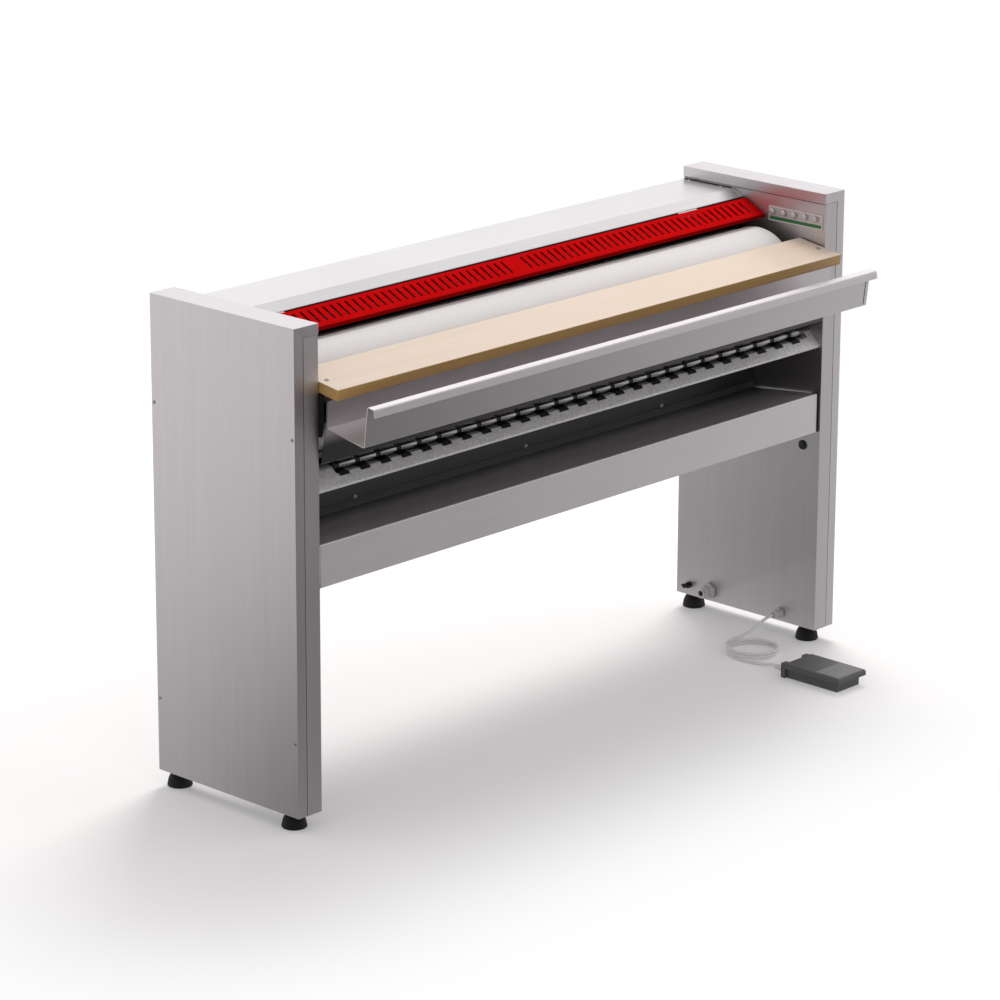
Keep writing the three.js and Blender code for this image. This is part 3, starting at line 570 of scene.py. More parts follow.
def add_modifiers(holder, modifiers):
    """Each modifier is (kind, settings)."""
    for kind, settings in modifiers:
        added = holder.modifiers.new(kind, kind)
        for name, value in settings.items():
            setattr(added, name, value)


def worked(mesh, *modifiers):
    """The mesh with modifiers worked in; then no modifier is left."""
    mesh.materials.clear()
    holder = bpy.data.objects.new("holder", mesh)
    scene.collection.objects.link(holder)
    add_modifiers(holder, modifiers)
    return plain(holder)


def plain(holder, tidy=False):
    """An object's evaluated shape as a plain mesh, tidied where its shells aren't merged yet."""
    graph = bpy.context.evaluated_depsgraph_get()
    source = holder.evaluated_get(graph)
    mesh = bpy.data.meshes.new_from_object(source, preserve_all_data_layers=True, depsgraph=graph)
    bpy.data.objects.remove(holder)
    if tidy:
        build = bmesh.new()
        build.from_mesh(mesh)
        bmesh.ops.remove_doubles(build, verts=build.verts, dist=1e-6)
        bmesh.ops.recalc_face_normals(build, faces=build.faces)
        build.to_mesh(mesh)
        build.free()
    return mesh


def cut_with(mesh, cutters):
    """The mesh less some closed shells."""
    tool = bpy.data.objects.new("cutters", shape_mesh("cutters", *cutters))
    scene.collection.objects.link(tool)
    result = worked(mesh, ("BOOLEAN", {"operation": "DIFFERENCE", "solver": "EXACT", "object": tool}))
    bpy.data.objects.remove(tool)
    return result


def round_shaded(mesh, sharp_from=None):
    """Smooth shading, except between faces that meet at more than an angle in degrees."""
    mesh.polygons.foreach_set("use_smooth", [True] * len(mesh.polygons))
    if sharp_from:
        mesh.set_sharp_from_angle(angle=math.radians(sharp_from))


def bevel(width, segments, angle):
    """A Bevel modifier's kind and settings."""
    limit = {"limit_method": "ANGLE", "angle_limit": math.radians(angle)}
    return "BEVEL", {"width": width * MM, "segments": segments, **limit}


def softened(mesh, width, segments=2, angle=30.0):
    """The mesh with its edges rounded by width, and flat faces that stay flat in the light."""
    round_shaded(mesh)
    kind, settings = bevel(width, segments, angle)
    if segments > 2:
        settings |= {"use_clamp_overlap": True, "miter_outer": "MITER_ARC"}
    return worked(mesh, (kind, settings), ("WEIGHTED_NORMAL", {"weight": 100}))


def smoothed(mesh, angle=32.0):
    """The mesh shaded smooth between faces that meet at less than the angle."""
    round_shaded(mesh, angle)
    return worked(mesh, ("WEIGHTED_NORMAL", {"weight": 100, "keep_sharp": True}))


def lathed(name, profile, centre, axis, sides, angle=35.0, **flutes):
    """A turned solid as a mesh with its round faces shaded smooth."""
    return smoothed(shape_mesh(name, turned(profile, centre, axis, sides, **flutes)), angle)


def piece(name, mesh, finish, body, slot, *replaced):
    """A piece on its body, in place of the CAD nodes that it stands for. With no finish, the mesh
    keeps the ones it has."""
    if finish is not None:
        mesh.materials.clear()
        mesh.materials.append(finish)
    made = bpy.data.objects.new(name, mesh)
    mesh.name = name
    scene.collection.objects.link(made)
    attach(made, body)
    if replaced:
        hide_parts(*replaced)
    return made


def dress(node, name, finish, width=0.3):
    """A piece with a CAD node's own shape and softened edges."""
    piece(name, softened(merged_copy(node), width), finish, body_of[node], slot_of[node], node)


# ---- Geometry Nodes recipes -----------------------------------------------------------------------
def in_metres(**sizes):
    """A recipe's number inputs by their labels, from names and millimetres."""
    return {name.replace("_", " ").title(): size * MM for name, size in sizes.items()}


class Recipe(Tree):
    """A Geometry Nodes tree with named inputs: numbers, whole numbers and finishes."""

    def __init__(self, name, numbers, wholes=("Count",), finishes=("Finish",)):
        super().__init__(bpy.data.node_groups.new(name, "GeometryNodeTree"))
        face = self.tree.interface
        face.new_socket("Geometry", in_out="OUTPUT", socket_type="NodeSocketGeometry")
        kinds = {"Geometry": ("Geometry",), "Float": numbers, "Int": wholes, "Material": finishes}
        for kind, labels in kinds.items():
            for label in labels:
                face.new_socket(label, in_out="INPUT", socket_type="NodeSocket" + kind)
        self.given = self.node("NodeGroupInput")

    def __getitem__(self, label):
        return self.given[label]

    def vector(self, x=0.0, y=0.0, z=0.0):
        return self.node("ShaderNodeCombineXYZ", None, {"X": x, "Y": y, "Z": z})["Vector"]

    def join(self, *shapes):
        return self.node("GeometryNodeJoinGeometry", None, {"Geometry": list(shapes)})["Geometry"]

    def moved(self, shape, **how):
        inputs = {"Geometry": shape, **{k.capitalize(): v for k, v in how.items()}}
        return self.node("GeometryNodeTransform", None, inputs)["Geometry"]

    def line(self, count, start, step):
        inputs = {"Count": count, "Start Location": start, "Offset": step}
        return self.node("GeometryNodeMeshLine", {"mode": "OFFSET"}, inputs)["Mesh"]

    def on_points(self, points, shape, **more):
        inputs = {"Points": points, "Instance": shape, **{k.capitalize(): v for k, v in more.items()}}
        placed = self.node("GeometryNodeInstanceOnPoints", None, inputs)["Instances"]
        return self.node("GeometryNodeRealizeInstances", None, {"Geometry": placed})["Geometry"]

    def cylinder(self, radius, depth, sides=32):
        inputs = {"Vertices": sides, "Radius": radius, "Depth": depth}
        return self.node("GeometryNodeMeshCylinder", None, inputs)["Mesh"]

    def aligned(self, axis, vector, **more):
        """A rotation that turns an axis to a vector."""
        settings = {"axis": axis, **({"pivot_axis": "X"} if more else {})}
        inputs = {"Vector": vector, **more}
        return self.node("FunctionNodeAlignRotationToVector", settings, inputs)["Rotation"]

    def outline(self, width, length, corner):
        """A rectangle with round corners, as a curve."""
        sides = {"Width": width, "Height": length}
        box = self.node("GeometryNodeCurvePrimitiveQuadrilateral", None, sides)["Curve"]
        inputs = {"Curve": box, "Count": 5, "Radius": corner}
        return self.node("GeometryNodeFilletCurve", {"mode": "POLY"}, inputs)["Curve"]

    def rounded_bar(self, width, length, corner, thickness, *holes):
        """A flat plate with round corners, less the outlines of its holes, between z 0 and -thickness."""
        edges = self.join(self.outline(width, length, corner), *holes)
        face = self.node("GeometryNodeFillCurve", {"mode": "NGONS"}, {"Curve": edges})["Mesh"]
        down = {"Offset": self.vector(z=thickness * -1.0), "Offset Scale": 1.0, "Individual": False}
        walls = self.node("GeometryNodeExtrudeMesh", {"mode": "FACES"}, {"Mesh": face, **down})["Mesh"]
        shells = {"Geometry": self.join(face, walls), "Distance": 1e-6}
        return self.node("GeometryNodeMergeByDistance", None, shells)["Geometry"]

    def end(self, *shapes):
        """Each shape is (geometry, material socket)."""
        dressed = []
        for geometry, finish in shapes:
            inputs = {"Geometry": geometry, "Material": finish}
            dressed.append(self.node("GeometryNodeSetMaterial", None, inputs)["Geometry"])
        self.node("NodeGroupOutput", None, {"Geometry": self.join(*dressed)})

    def cook(self, values, mesh=None, *modifiers):
        """Runs the tree, with its inputs set by their sockets' identifiers, to a plain mesh."""
        holder = bpy.data.objects.new("holder", mesh or bpy.data.meshes.new("points"))
        scene.collection.objects.link(holder)
        added = holder.modifiers.new("recipe", "NODES")
        added.node_group = self.tree
        for item in self.tree.interface.items_tree:
            if item.item_type == "SOCKET" and item.in_out == "INPUT" and item.name in values:
                added[item.identifier] = values[item.name]
        add_modifiers(holder, modifiers)
        return plain(holder, tidy=True)


def slotted_plate():
    """A plate with two mirrored groups of round-ended slots."""
    numbers = ("Width", "Depth", "Thickness", "Slot Width", "Slot Length", "Pitch", "Middle", "Offset")
    r = Recipe("slotted plate", numbers)
    slot = r.outline(r["Slot Width"], r["Slot Length"], r["Slot Width"] * 0.49)
    first = r["Middle"] * 0.5 + r["Slot Width"] * 0.5
    rows = [
        r.line(r["Count"], r.vector(first * side, r["Offset"]), r.vector(r["Pitch"] * side))
        for side in (-1.0, 1.0)
    ]
    cuts = r.on_points(r.join(*rows), slot)
    plate = r.rounded_bar(r["Width"], r["Depth"], 0.4 * MM, r["Thickness"], cuts)
    r.end((plate, r["Finish"]))
    return r


def fastener_set():
    """Domed cross-recess screws with washers, standing on points that carry the vector 'facing'."""
    r = Recipe("screws", ("Head Radius", "Head Height", "Washer Radius"), wholes=("Seed",))
    radius, height = r["Head Radius"], r["Head Height"]
    ball = r.node("GeometryNodeMeshUVSphere", None, {"Segments": 20, "Rings": 12, "Radius": 1.0})["Mesh"]
    head = r.moved(ball, scale=r.vector(radius, radius, height))
    long, narrow = 1.15, 0.24  # the recess's arms, in head radii
    bars = [
        r.node("GeometryNodeMeshCube", None, {"Size": r.vector(radius * a, radius * b, height)})["Mesh"]
        for a, b in ((long, narrow), (narrow, long))
    ]
    cross = [r.moved(bar, translation=r.vector(z=height * 0.95)) for bar in bars]
    less = {"Mesh 1": head, "Mesh 2": cross}
    recessed = r.node("GeometryNodeMeshBoolean", {"operation": "DIFFERENCE"}, less)["Mesh"]
    disc = r.cylinder(r["Washer Radius"], height * 0.3, 24)
    washer = r.moved(disc, translation=r.vector(z=height * 0.15))
    carried = {"data_type": "FLOAT_VECTOR"}
    facing = r.node("GeometryNodeInputNamedAttribute", carried, {"Name": "facing"})["Attribute"]
    any_turn = {2: 0.0, 3: 3.14, "Seed": r["Seed"]}
    spin = r.node("FunctionNodeRandomValue", {"data_type": "FLOAT"}, any_turn)[1]
    turn = r.node("FunctionNodeEulerToRotation", None, {"Euler": r.vector(z=spin)})["Rotation"]
    both = {"Rotation": r.aligned("Z", facing), "Rotate By": turn}
    rotation = r.node("FunctionNodeRotateRotation", {"rotation_space": "LOCAL"}, both)["Rotation"]
    r.end((r.on_points(r["Geometry"], r.join(recessed, washer), rotation=rotation), r["Finish"]))
    return r


def roller_row():
    """Sleeves at a pitch on a core, on an axle."""
    numbers = ("First", "Pitch", "Sleeve", "Sleeve Radius", "Core Radius", "Axle Radius", "Axle Half")
    r = Recipe("roller row", numbers, finishes=("Sleeve Finish", "Core Finish", "Axle Finish"))
    lay = {"rotation": (0.0, math.pi / 2, 0.0)}
    play = 0.6 * MM
    gap = r["Pitch"] - r["Sleeve"]
    sleeve = r.moved(r.cylinder(r["Sleeve Radius"], r["Sleeve"]), **lay)
    core = r.moved(r.cylinder(r["Core Radius"], gap - play), **lay)
    step = r.vector(r["Pitch"])
    sleeves = r.on_points(r.line(r["Count"], r.vector(r["First"]), step), sleeve)
    cores = r.on_points(r.line(r["Count"], r.vector(r["First"] - r["Pitch"] * 0.5), step), core)
    axle = r.moved(r.cylinder(r["Axle Radius"], r["Axle Half"] * 2.0), **lay)
    r.end((sleeves, r["Sleeve Finish"]), (cores, r["Core Finish"]), (axle, r["Axle Finish"]))
    return r


def bar_row():
    """Equal bars side by side along Y."""
    r = Recipe("row of bars", ("Length", "Width", "Height", "Pitch", "Corner"))
    bar = r.rounded_bar(r["Length"], r["Width"], r["Corner"], r["Height"])
    r.end((r.on_points(r.line(r["Count"], r.vector(), r.vector(y=r["Pitch"])), bar), r["Finish"]))
    return r


def chain_links():
    """A roller chain along a closed path in a plane square to X."""
    numbers = ("Pitch", "Plate Height", "Plate", "Inner Width", "Outer Width", "Roller Radius")
    r = Recipe("roller chain", numbers)
    path = r.node("GeometryNodeMeshToCurve", None, {"Mesh": r["Geometry"]})["Curve"]
    even = r.node("GeometryNodeResampleCurve", None, {"Curve": path, "Count": r["Count"]})["Curve"]
    along = r.aligned("X", r.node("GeometryNodeInputTangent")["Tangent"])
    stand = r.aligned("Z", (1.0, 0.0, 0.0), Rotation=along)
    length, height = r["Pitch"] + r["Plate Height"], r["Plate Height"]
    plate = r.rounded_bar(length, height, height * 0.48, r["Plate"])
    middle = r["Pitch"] * 0.5
    odd = r.math("MODULO", r.node("GeometryNodeInputIndex")["Index"], 2.0)
    sets = []
    for parity, width in ((odd, r["Inner Width"]), (1 - odd, r["Outer Width"])):
        places = [r.vector(middle, 0.0, r["Plate"] * 0.5 + width * side) for side in (0.5, -0.5)]
        pair = r.join(*(r.moved(plate, translation=place) for place in places))
        sets.append(r.on_points(even, pair, rotation=stand, selection=parity))
    roller = r.cylinder(r["Roller Radius"], r["Inner Width"], 12)
    pin = r.cylinder(r["Roller Radius"] * 0.45, r["Outer Width"] + r["Plate"] * 1.6, 8)
    sets.append(r.on_points(even, r.join(roller, pin), rotation=stand))
    r.end(*((part, r["Finish"]) for part in sets))
    return r


# ---- the pedal's cord -----------------------------------------------------------------------------
CORD_RADIUS = 3.5
COIL = {"x": 636.0, "y": 65.0, "radius": 56.0, "start": 100.0, "sweep": 800.0, "rise": 7.7, "floor": 3.8}
CORD_LEAD = [  # from the gland down to the coil
    (748, 100, 55.5), (741, 100, 55.5), (718, 100.5, 52),
    (701, 102.5, 43.5), (680, 107, 33), (655, 114.5, 24.6),
]
CORD_TAIL = [  # from the coil to the pedal's strain relief
    (579.5, 40, 3.8), (583, 22, 3.8), (587, 4, 4.2), (587, -14, 6.4),
    (583.4, -30, 10.6), (582, -37.1, 12), (582, -44.1, 12),
]
CORD_GAP = 0.5  # between the CAD's lead, coil and tail
COIL_STEPS, LEAD_STEPS, TAIL_STEPS = 90, 30, 34


def coil_point(t):
    """A point of the coil's middle line, from its upper end at 0 to its lower end at 1."""
    angle = math.radians(COIL["start"] + COIL["sweep"] * t)
    height = COIL["floor"] + COIL["rise"] * COIL["sweep"] / 360 * (1 - t)
    radius = COIL["radius"]
    return Vector((COIL["x"] + radius * math.cos(angle), COIL["y"] + radius * math.sin(angle), height))


def centripetal(points, count):
    """A smooth curve through points, as part.mjs draws it."""
    points = [Vector(p) for p in points]
    before, after = points[0] * 2 - points[1], points[-1] * 2 - points[-2]
    run = [before, *points, after]
    found = []
    for i in range(count + 1):
        place = i / count * (len(points) - 1)
        leg = min(int(place), len(points) - 2)
        share = place - leg
        p0, p1, p2, p3 = run[leg : leg + 4]
        d = [max((a - b).length ** 0.5, 1e-6) for a, b in ((p1, p0), (p2, p1), (p3, p2))]
        m1 = ((p1 - p0) / d[0] - (p2 - p0) / (d[0] + d[1]) + (p2 - p1) / d[1]) * d[1]
        m2 = ((p2 - p1) / d[1] - (p3 - p1) / (d[1] + d[2]) + (p3 - p2) / d[2]) * d[1]
        c2, c3 = (p2 - p1) * 3 - m1 * 2 - m2, (p1 - p2) * 2 + m1 + m2
        found.append(p1 + m1 * share + c2 * share**2 + c3 * share**3)
    return found


def lay_cord(finish):
    start, end, step = coil_point(0.0), coil_point(1.0), 1e-4
    start_way = (coil_point(step) - start).normalized()
    end_way = (end - coil_point(1 - step)).normalized()
    straight = CORD_GAP + 2 * CORD_RADIUS
    lead = [*CORD_LEAD, start - start_way * straight, start - start_way * CORD_GAP]
    tail = [end + end_way * CORD_GAP, end + end_way * straight, *CORD_TAIL]
    turns = [coil_point(i / COIL_STEPS) for i in range(COIL_STEPS + 1)]
    points = centripetal(lead, LEAD_STEPS) + turns + centripetal(tail, TAIL_STEPS)
    route = [at(*p) for p in points]
    line = bpy.data.curves.new("pedal_cord", "CURVE")
    line.dimensions, line.use_fill_caps = "3D", True
    line.bevel_depth, line.bevel_resolution = CORD_RADIUS * MM, 6
    spline = line.splines.new("POLY")
    spline.points.add(len(route) - 1)
    for point, place in zip(spline.points, route):
        point.co = (*place, 1.0)
    line.materials.append(finish)
    cord = bpy.data.objects.new("pedal_cord", line)
    scene.collection.objects.link(cord)
    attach(cord, "frame")
    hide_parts("cord_lead", "cord_coil", "cord_tail")
    length = sum((b - a).length for a, b in zip(route, route[1:]))
    tuple(route[0])


# ---- cabinets -------------------------------------------------------------------------------------
SCREW_HEIGHTS = (192.0, 817.0)
SCREW_EDGE = 7.5  # from the outer face's front and back edges
PIT_DEPTH = 1.0
PIT = [(0, -PIT_DEPTH), (3.9, -PIT_DEPTH), (4.3, 0.2), (0, 0.2)]
LIP_HEIGHT, RETURN_WIDTH = 23.0, 24.0
HAIRLINE = 0.22  # half the width of the joint between two folds


def mitre_cut(side, y):
    """A hairline from the cover's corner to the seam's top, where the two folds meet."""
    corner = Vector((side * HALF_WIDTH, HEIGHT))
    foot = Vector((side * (HALF_WIDTH - RETURN_WIDTH), HEIGHT - LIP_HEIGHT))
    way = (foot - corner).normalized()
    across = Vector((-way.y, way.x)) * HAIRLINE
    ends = [corner - way * 2 - across, corner - way * 2 + across, foot + across, foot - across]
    points = [(p.x, depth, p.y) for depth in (y - 0.5, y + 0.5) for p in ends]
    return points, [(0, 1, 2, 3), (4, 7, 6, 5), (0, 4, 5, 1), (1, 5, 6, 2), (2, 6, 7, 3), (3, 7, 4, 0)]


def cabinets(finish, screws):
    for side, name, axis in ((-1, "left", "-x"), (1, "right", "x")):
        edges = (SCREW_EDGE, DEPTH - SCREW_EDGE)
        places = [(side * HALF_WIDTH, y, z) for y in edges for z in SCREW_HEIGHTS]
        cuts = [mitre_cut(side, y) for y in (0.0, DEPTH)] + [turned(PIT, place, axis, 24) for place in places]
        cover = smoothed(cut_with(softened(merged_copy(name + "_side_cover"), 0.55), cuts), 40)
        panel = softened(merged_copy(name + "_inner_panel"), 0.3)
        for sheet, mesh, kind, node in (
            ("_cover_sheet", cover, "stainless_upright", "_side_cover"),
            ("_inner_sheet", panel, "stainless_inner", "_inner_panel"),
        ):
            piece(name + sheet, mesh, finish[kind], "frame", "stainless", name + node)
        heads = [(x - side * PIT_DEPTH, y, z) for x, y, z in places]
        drive_screws(name + "_cover_screws", screws, "cover", heads, (side, 0, 0), finish["steel"])


TO_FRONT, TO_BACK, UPWARDS = (0, -1, 0), (0, 1, 0), (0, 0, 1)
SCREWS = {  # head radius, head height, washer radius
    "cover": (3.3, 0.9, 3.6),
    "back wall": (3.8, 2.2, 5.2),
    "cover end": (4.2, 2.5, 4.8),
    "cover back": (3.6, 1.5, 4.2),
    "rear panel": (3.6, 1.8, 4.6),
    "bracket": (3.2, 1.6, 3.8),
    "table": (5.2, 2.1, 5.8),
}


def drive_screws(name, recipe, kind, places, facing, finish, seed=3):
    """Screws of one kind at places that all face one way."""
    mesh = bpy.data.meshes.new("places")
    mesh.from_pydata([at(*p) for p in places], [], [])
    layer = mesh.attributes.new("facing", "FLOAT_VECTOR", "POINT")
    layer.data.foreach_set("vector", [c for _ in places for c in Vector(facing).normalized()])
    head, height, washer = SCREWS[kind]
    sizes = in_metres(head_radius=head, head_height=height, washer_radius=washer)
    made = recipe.cook({**sizes, "Seed": seed, "Finish": finish}, mesh)
    piece(name, smoothed(made, 40.0), finish, "frame", "machined_steel")


# ---- sheets between the cabinets ------------------------------------------------------------------
# Each sheet's outer face as a walk in (y, z); the metal lies on the walk's left, or on its right where
# it is walked from its end.
COVER = [(239, 987), (234, 998), (265, 1012), (407, 1012), (407, 985)]
BACK_WALL = [(48, 700), (70, 672), (191, 655), (191, 563.5)]
BOTTOM = [(402, 578), (402, 561), (194, 561), (194, 578)]
SHELF = [(189.1, 584.1), (189.1, 569.1), (5.3, 589.5), (5.3, 499.2), (24.3, 499.2)]
TRAY = [(-23.4, 888), (-19, 832), (-120, 814), (-130, 897), (-148, 894.5), (-150.5, 878)]
SHIELD = [(-21, 886), (-16.7, 830), (-3, 757), (6, 752)]
TRAY_HALF = 771.0
APRON_CLEAR = 6.4  # beside each end of the shelf and apron


def folded_piece(name, points, half, finish, node, radius=1.3):
    mesh = smoothed(shape_mesh(name, folded(points, -half, half, radius)))
    return piece(name, mesh, finish, "frame", slot_of[node], node)


def sheets(finish):
    folded_piece("cover_sheet", COVER[::-1], SPAN_X, finish["cover"], "top_cover", 1.6)
    # the back wall takes the darkened sheet as painted shade
    folded_piece("back_wall_sheet", BACK_WALL, SPAN_X, finish["shaded"], "inner_back_wall", 2.0)
    folded_piece("bottom_sheet", BOTTOM[::-1], SPAN_X, finish["dull"], "bottom_panel")
    folded_piece("shelf_sheet", SHELF, SPAN_X - APRON_CLEAR, finish["shelf"], "linen_shelf", 1.6)
    folded_piece("tray_sheet", TRAY, TRAY_HALF, finish["stainless_along"], "linen_tray", 1.6)
    folded_piece("front_shield_sheet", SHIELD, TRAY_HALF, finish["shield"], "front_shield", 1.6)


# painted shade: a black strip along the cover's front edge, standing in for the shade of the gap behind the
# guard
COVER_FRONT_SHADE_STRIP = [(238.8, 988.0), (237.9, 987.6), (233.4, 997.1), (234.3, 997.6)]
COVER_HEM = [(264, 1013.7), (233.4, 999.9), (234.1, 998.2), (264.7, 1012)]
FRONT_SHADE_STRIP_HALF, HEM_XS = 772, (768.4, 774)
# Blocks at the right end, each (x from and to, y from and to, z from and to); the left's are mirrored.
# painted shade: black strips standing in for the shade of the gaps beside the cover, beside the apron and
# under the side lids
COVER_END_SHADE_STRIP = ((771.8, 774.2), (268, 405), (1012.1, 1013.4))
APRON_GAP_SHADE_STRIP = ((768.1, 774.3), (7.2, 23), (500, 588))
LID_GAP_SHADE_STRIP = ((773.5, 774.7), (2, 407), (1015.9, 1016.8))
LID_HEM = ((773.9, 774.7), (2, 262), (1013.7, 1015.4))
TRAY_SEAM = {"xs": (758.8, 761), "from": 0.05, "to": 0.93, "sunk": 0.1, "proud": 0.25}


def beside(side, xs, ys, zs):
    """A block at one end, given as it lies at the right one."""
    return block((side * xs[0], side * xs[1]), ys, zs)


def end_trim(finish):
    """What closes the sheets' ends: hems on the cover's slope, the tray's end seam, and black strips as
    painted shade in the gaps beside the cover, under its side lids, beside the apron and behind the guard.
    """
    shade_strips, hems, gaps = [], [], []
    for side in (-1, 1):
        shade_strips += [beside(side, *COVER_END_SHADE_STRIP), beside(side, *APRON_GAP_SHADE_STRIP)]
        hems += [prism(COVER_HEM, *(side * x for x in HEM_XS)), beside(side, *LID_HEM)]
        gaps.append(beside(side, *LID_GAP_SHADE_STRIP))
    shade_strips_mesh = softened(shape_mesh("gap_shade_strips", *shade_strips, *gaps), 0.3)
    piece("gap_shade_strips", shade_strips_mesh, finish["rubber"], "frame", "rubber")
    piece("end_hems", softened(shape_mesh("end_hems", *hems), 0.3), finish["cover"], "frame", "bright_sheet")
    front = prism(COVER_FRONT_SHADE_STRIP, -FRONT_SHADE_STRIP_HALF, FRONT_SHADE_STRIP_HALF)
    piece("cover_front_shade_strip", shape_mesh("cover_front_shade_strip", front), finish["rubber"], "frame", "rubber")
    # a dark joint at the tray's end; its black strip also stands in for the groove's shade, as painted shade
    low, high = (Vector(p) for p in TRAY[2:4])
    wall = [tuple(low.lerp(high, TRAY_SEAM[end])) for end in ("from", "to")]
    band = shifted(wall, SHEET - TRAY_SEAM["sunk"]) + shifted(wall, SHEET + TRAY_SEAM["proud"])[::-1]
    seam = shape_mesh("tray_end_seam", prism(band, *TRAY_SEAM["xs"]))
    piece("tray_end_seam", softened(seam, 0.1), finish["rubber"], "frame", "rubber")


REAR_MIDDLE = (0, 403.7, 754.5)
LOUVRE_SHADE_HALF, LOUVRE_SHADE_SHEET = 760, 1.0
LOUVRE_SHADE_OUTLINE = [(402.2, 1000), (394.5, 992), (394.5, 872), (402.2, 862)]


def rear_panel(finish, recipe):
    sizes = in_metres(
        width=2 * SPAN_X,
        depth=503,
        thickness=SHEET,
        slot_width=5,
        slot_length=50,
        pitch=48,
        middle=495,
        offset=165.5,
    )
    plate = recipe.cook({**sizes, "Count": 8, "Finish": finish["stainless_along"]})
    stand = Matrix(((1, 0, 0), (0, 0, 1), (0, -1, 0))).transposed().to_4x4()
    plate.transform(Matrix.Translation(at(*REAR_MIDDLE)) @ stand)
    sheet = softened(plate, 0.25, angle=40.0)
    piece("rear_sheet", sheet, finish["stainless_along"], "frame", "stainless", "rear_panel")
    # painted shade: a blackened sheet behind the rear louvres, standing in for the shade inside them
    baffle = smoothed(shape_mesh("rear_louvre_shade_sheet", folded(LOUVRE_SHADE_OUTLINE, -LOUVRE_SHADE_HALF, LOUVRE_SHADE_HALF, 1.0, LOUVRE_SHADE_SHEET)))
    piece("rear_louvre_shade_sheet", baffle, finish["blackened"], "frame", slot_of["table_bracket_left"])


def sheet_screws(finish, screws):
    zinc = finish["zinc"]
    fasteners = [(x, 191, 587) for x in (-487, 22, 459)]
    drive_screws("back_wall_fasteners", screws, "back wall", fasteners, TO_FRONT, zinc)
    ends = [(side * 762, y, 1012) for side in (-1, 1) for y in (382, 289)]
    drive_screws("cover_end_screws", screws, "cover end", ends, UPWARDS, zinc, 5)
    along = (-700, -350, 0, 350, 700)
    upper, lower = [(x, 407, 997) for x in along], [(x, 405.2, 514) for x in along]
    drive_screws("cover_back_screws", screws, "cover back", upper, TO_BACK, zinc, 7)
    drive_screws("rear_panel_screws", screws, "rear panel", lower, TO_BACK, zinc, 9)
    for side, name in ((-1, "left"), (1, "right")):
        places = [(side * 772.8, -6, z) for z in (862, 850)]
        drive_screws(name + "_bracket_screws", screws, "bracket", places, (-side, 0, 0), zinc, 11)


# ---- roll -----------------------------------------------------------------------------------------
ROLL = {"y": 157.0, "z": 838.0, "radius": 110.0, "half": 741.0, "drum": 95.3}
CLOTH_EDGE = 7.0  # radius of its drawn-in ends
CLOTH_RINGS = 90
CLOTH_SWELL = {"share": 0.0035, "along": 210, "round": 60}  # of the radius; the rest in millimetres


def roll_cloth(finish):
    """The padding's cloth: a drawn-in end at each side and slight unevenness under the wraps."""
    half, radius, edge = ROLL["half"], ROLL["radius"], CLOTH_EDGE
    rows = []
    for i in range(7):
        angle = math.radians(15 * i)
        rows.append((radius - edge + edge * math.sin(angle), -half + edge - edge * math.cos(angle)))
    long = 2 * half - 2 * edge
    body = [(radius, -half + edge + long * i / CLOTH_RINGS) for i in range(1, CLOTH_RINGS)]
    right = [(r, -x) for r, x in reversed(rows)]
    inner = [(ROLL["drum"], half), (ROLL["drum"], -half)]
    points, faces = turned(rows + body + right + inner, (0, ROLL["y"], ROLL["z"]), "x", 96)
    moved = []
    for x, y, z in points:
        out = Vector((0, y - ROLL["y"], z - ROLL["z"]))
        if out.length < ROLL["drum"] + 2:
            moved.append((x, y, z))
            continue
        place = (x / CLOTH_SWELL["along"], y / CLOTH_SWELL["round"], z / CLOTH_SWELL["round"])
        swell = noise.noise(Vector(place)) * 0.5 + 0.5
        out *= 1 - CLOTH_SWELL["share"] * swell
        moved.append((x, ROLL["y"] + out.y, ROLL["z"] + out.z))
    mesh = smoothed(shape_mesh("roll_cloth", (moved, faces)), 50.0)
    cloth = piece("roll_cloth", mesh, finish["cloth"], "roll", "roll_cloth", "roll_padding")


# ---- finger guard ---------------------------------------------------------------------------------
GUARD = {"back": (225.0, 997.2), "front": (169.3, 969.9), "lip": (168.6, 961.9), "half": 771.9}
GUARD_BEND = 2.6  # where the lip's bend begins, behind the front edge
GUARD_OVERLAP = 0.4  # of the lip's sheet on the plate
GUARD_SLOTS = (2, 1)  # from the plate's middle to the middle of its slots
GUARD_EYE = [(212, 989.9), (225, 996.3), (233, 990.5), (233, 986), (228, 984), (222, 986)]
GUARD_HINGES = ((-705, -643), (549, 611))
EYE_SIDES = (0.6, 3)  # an eye's two faces, from the end of its hinge


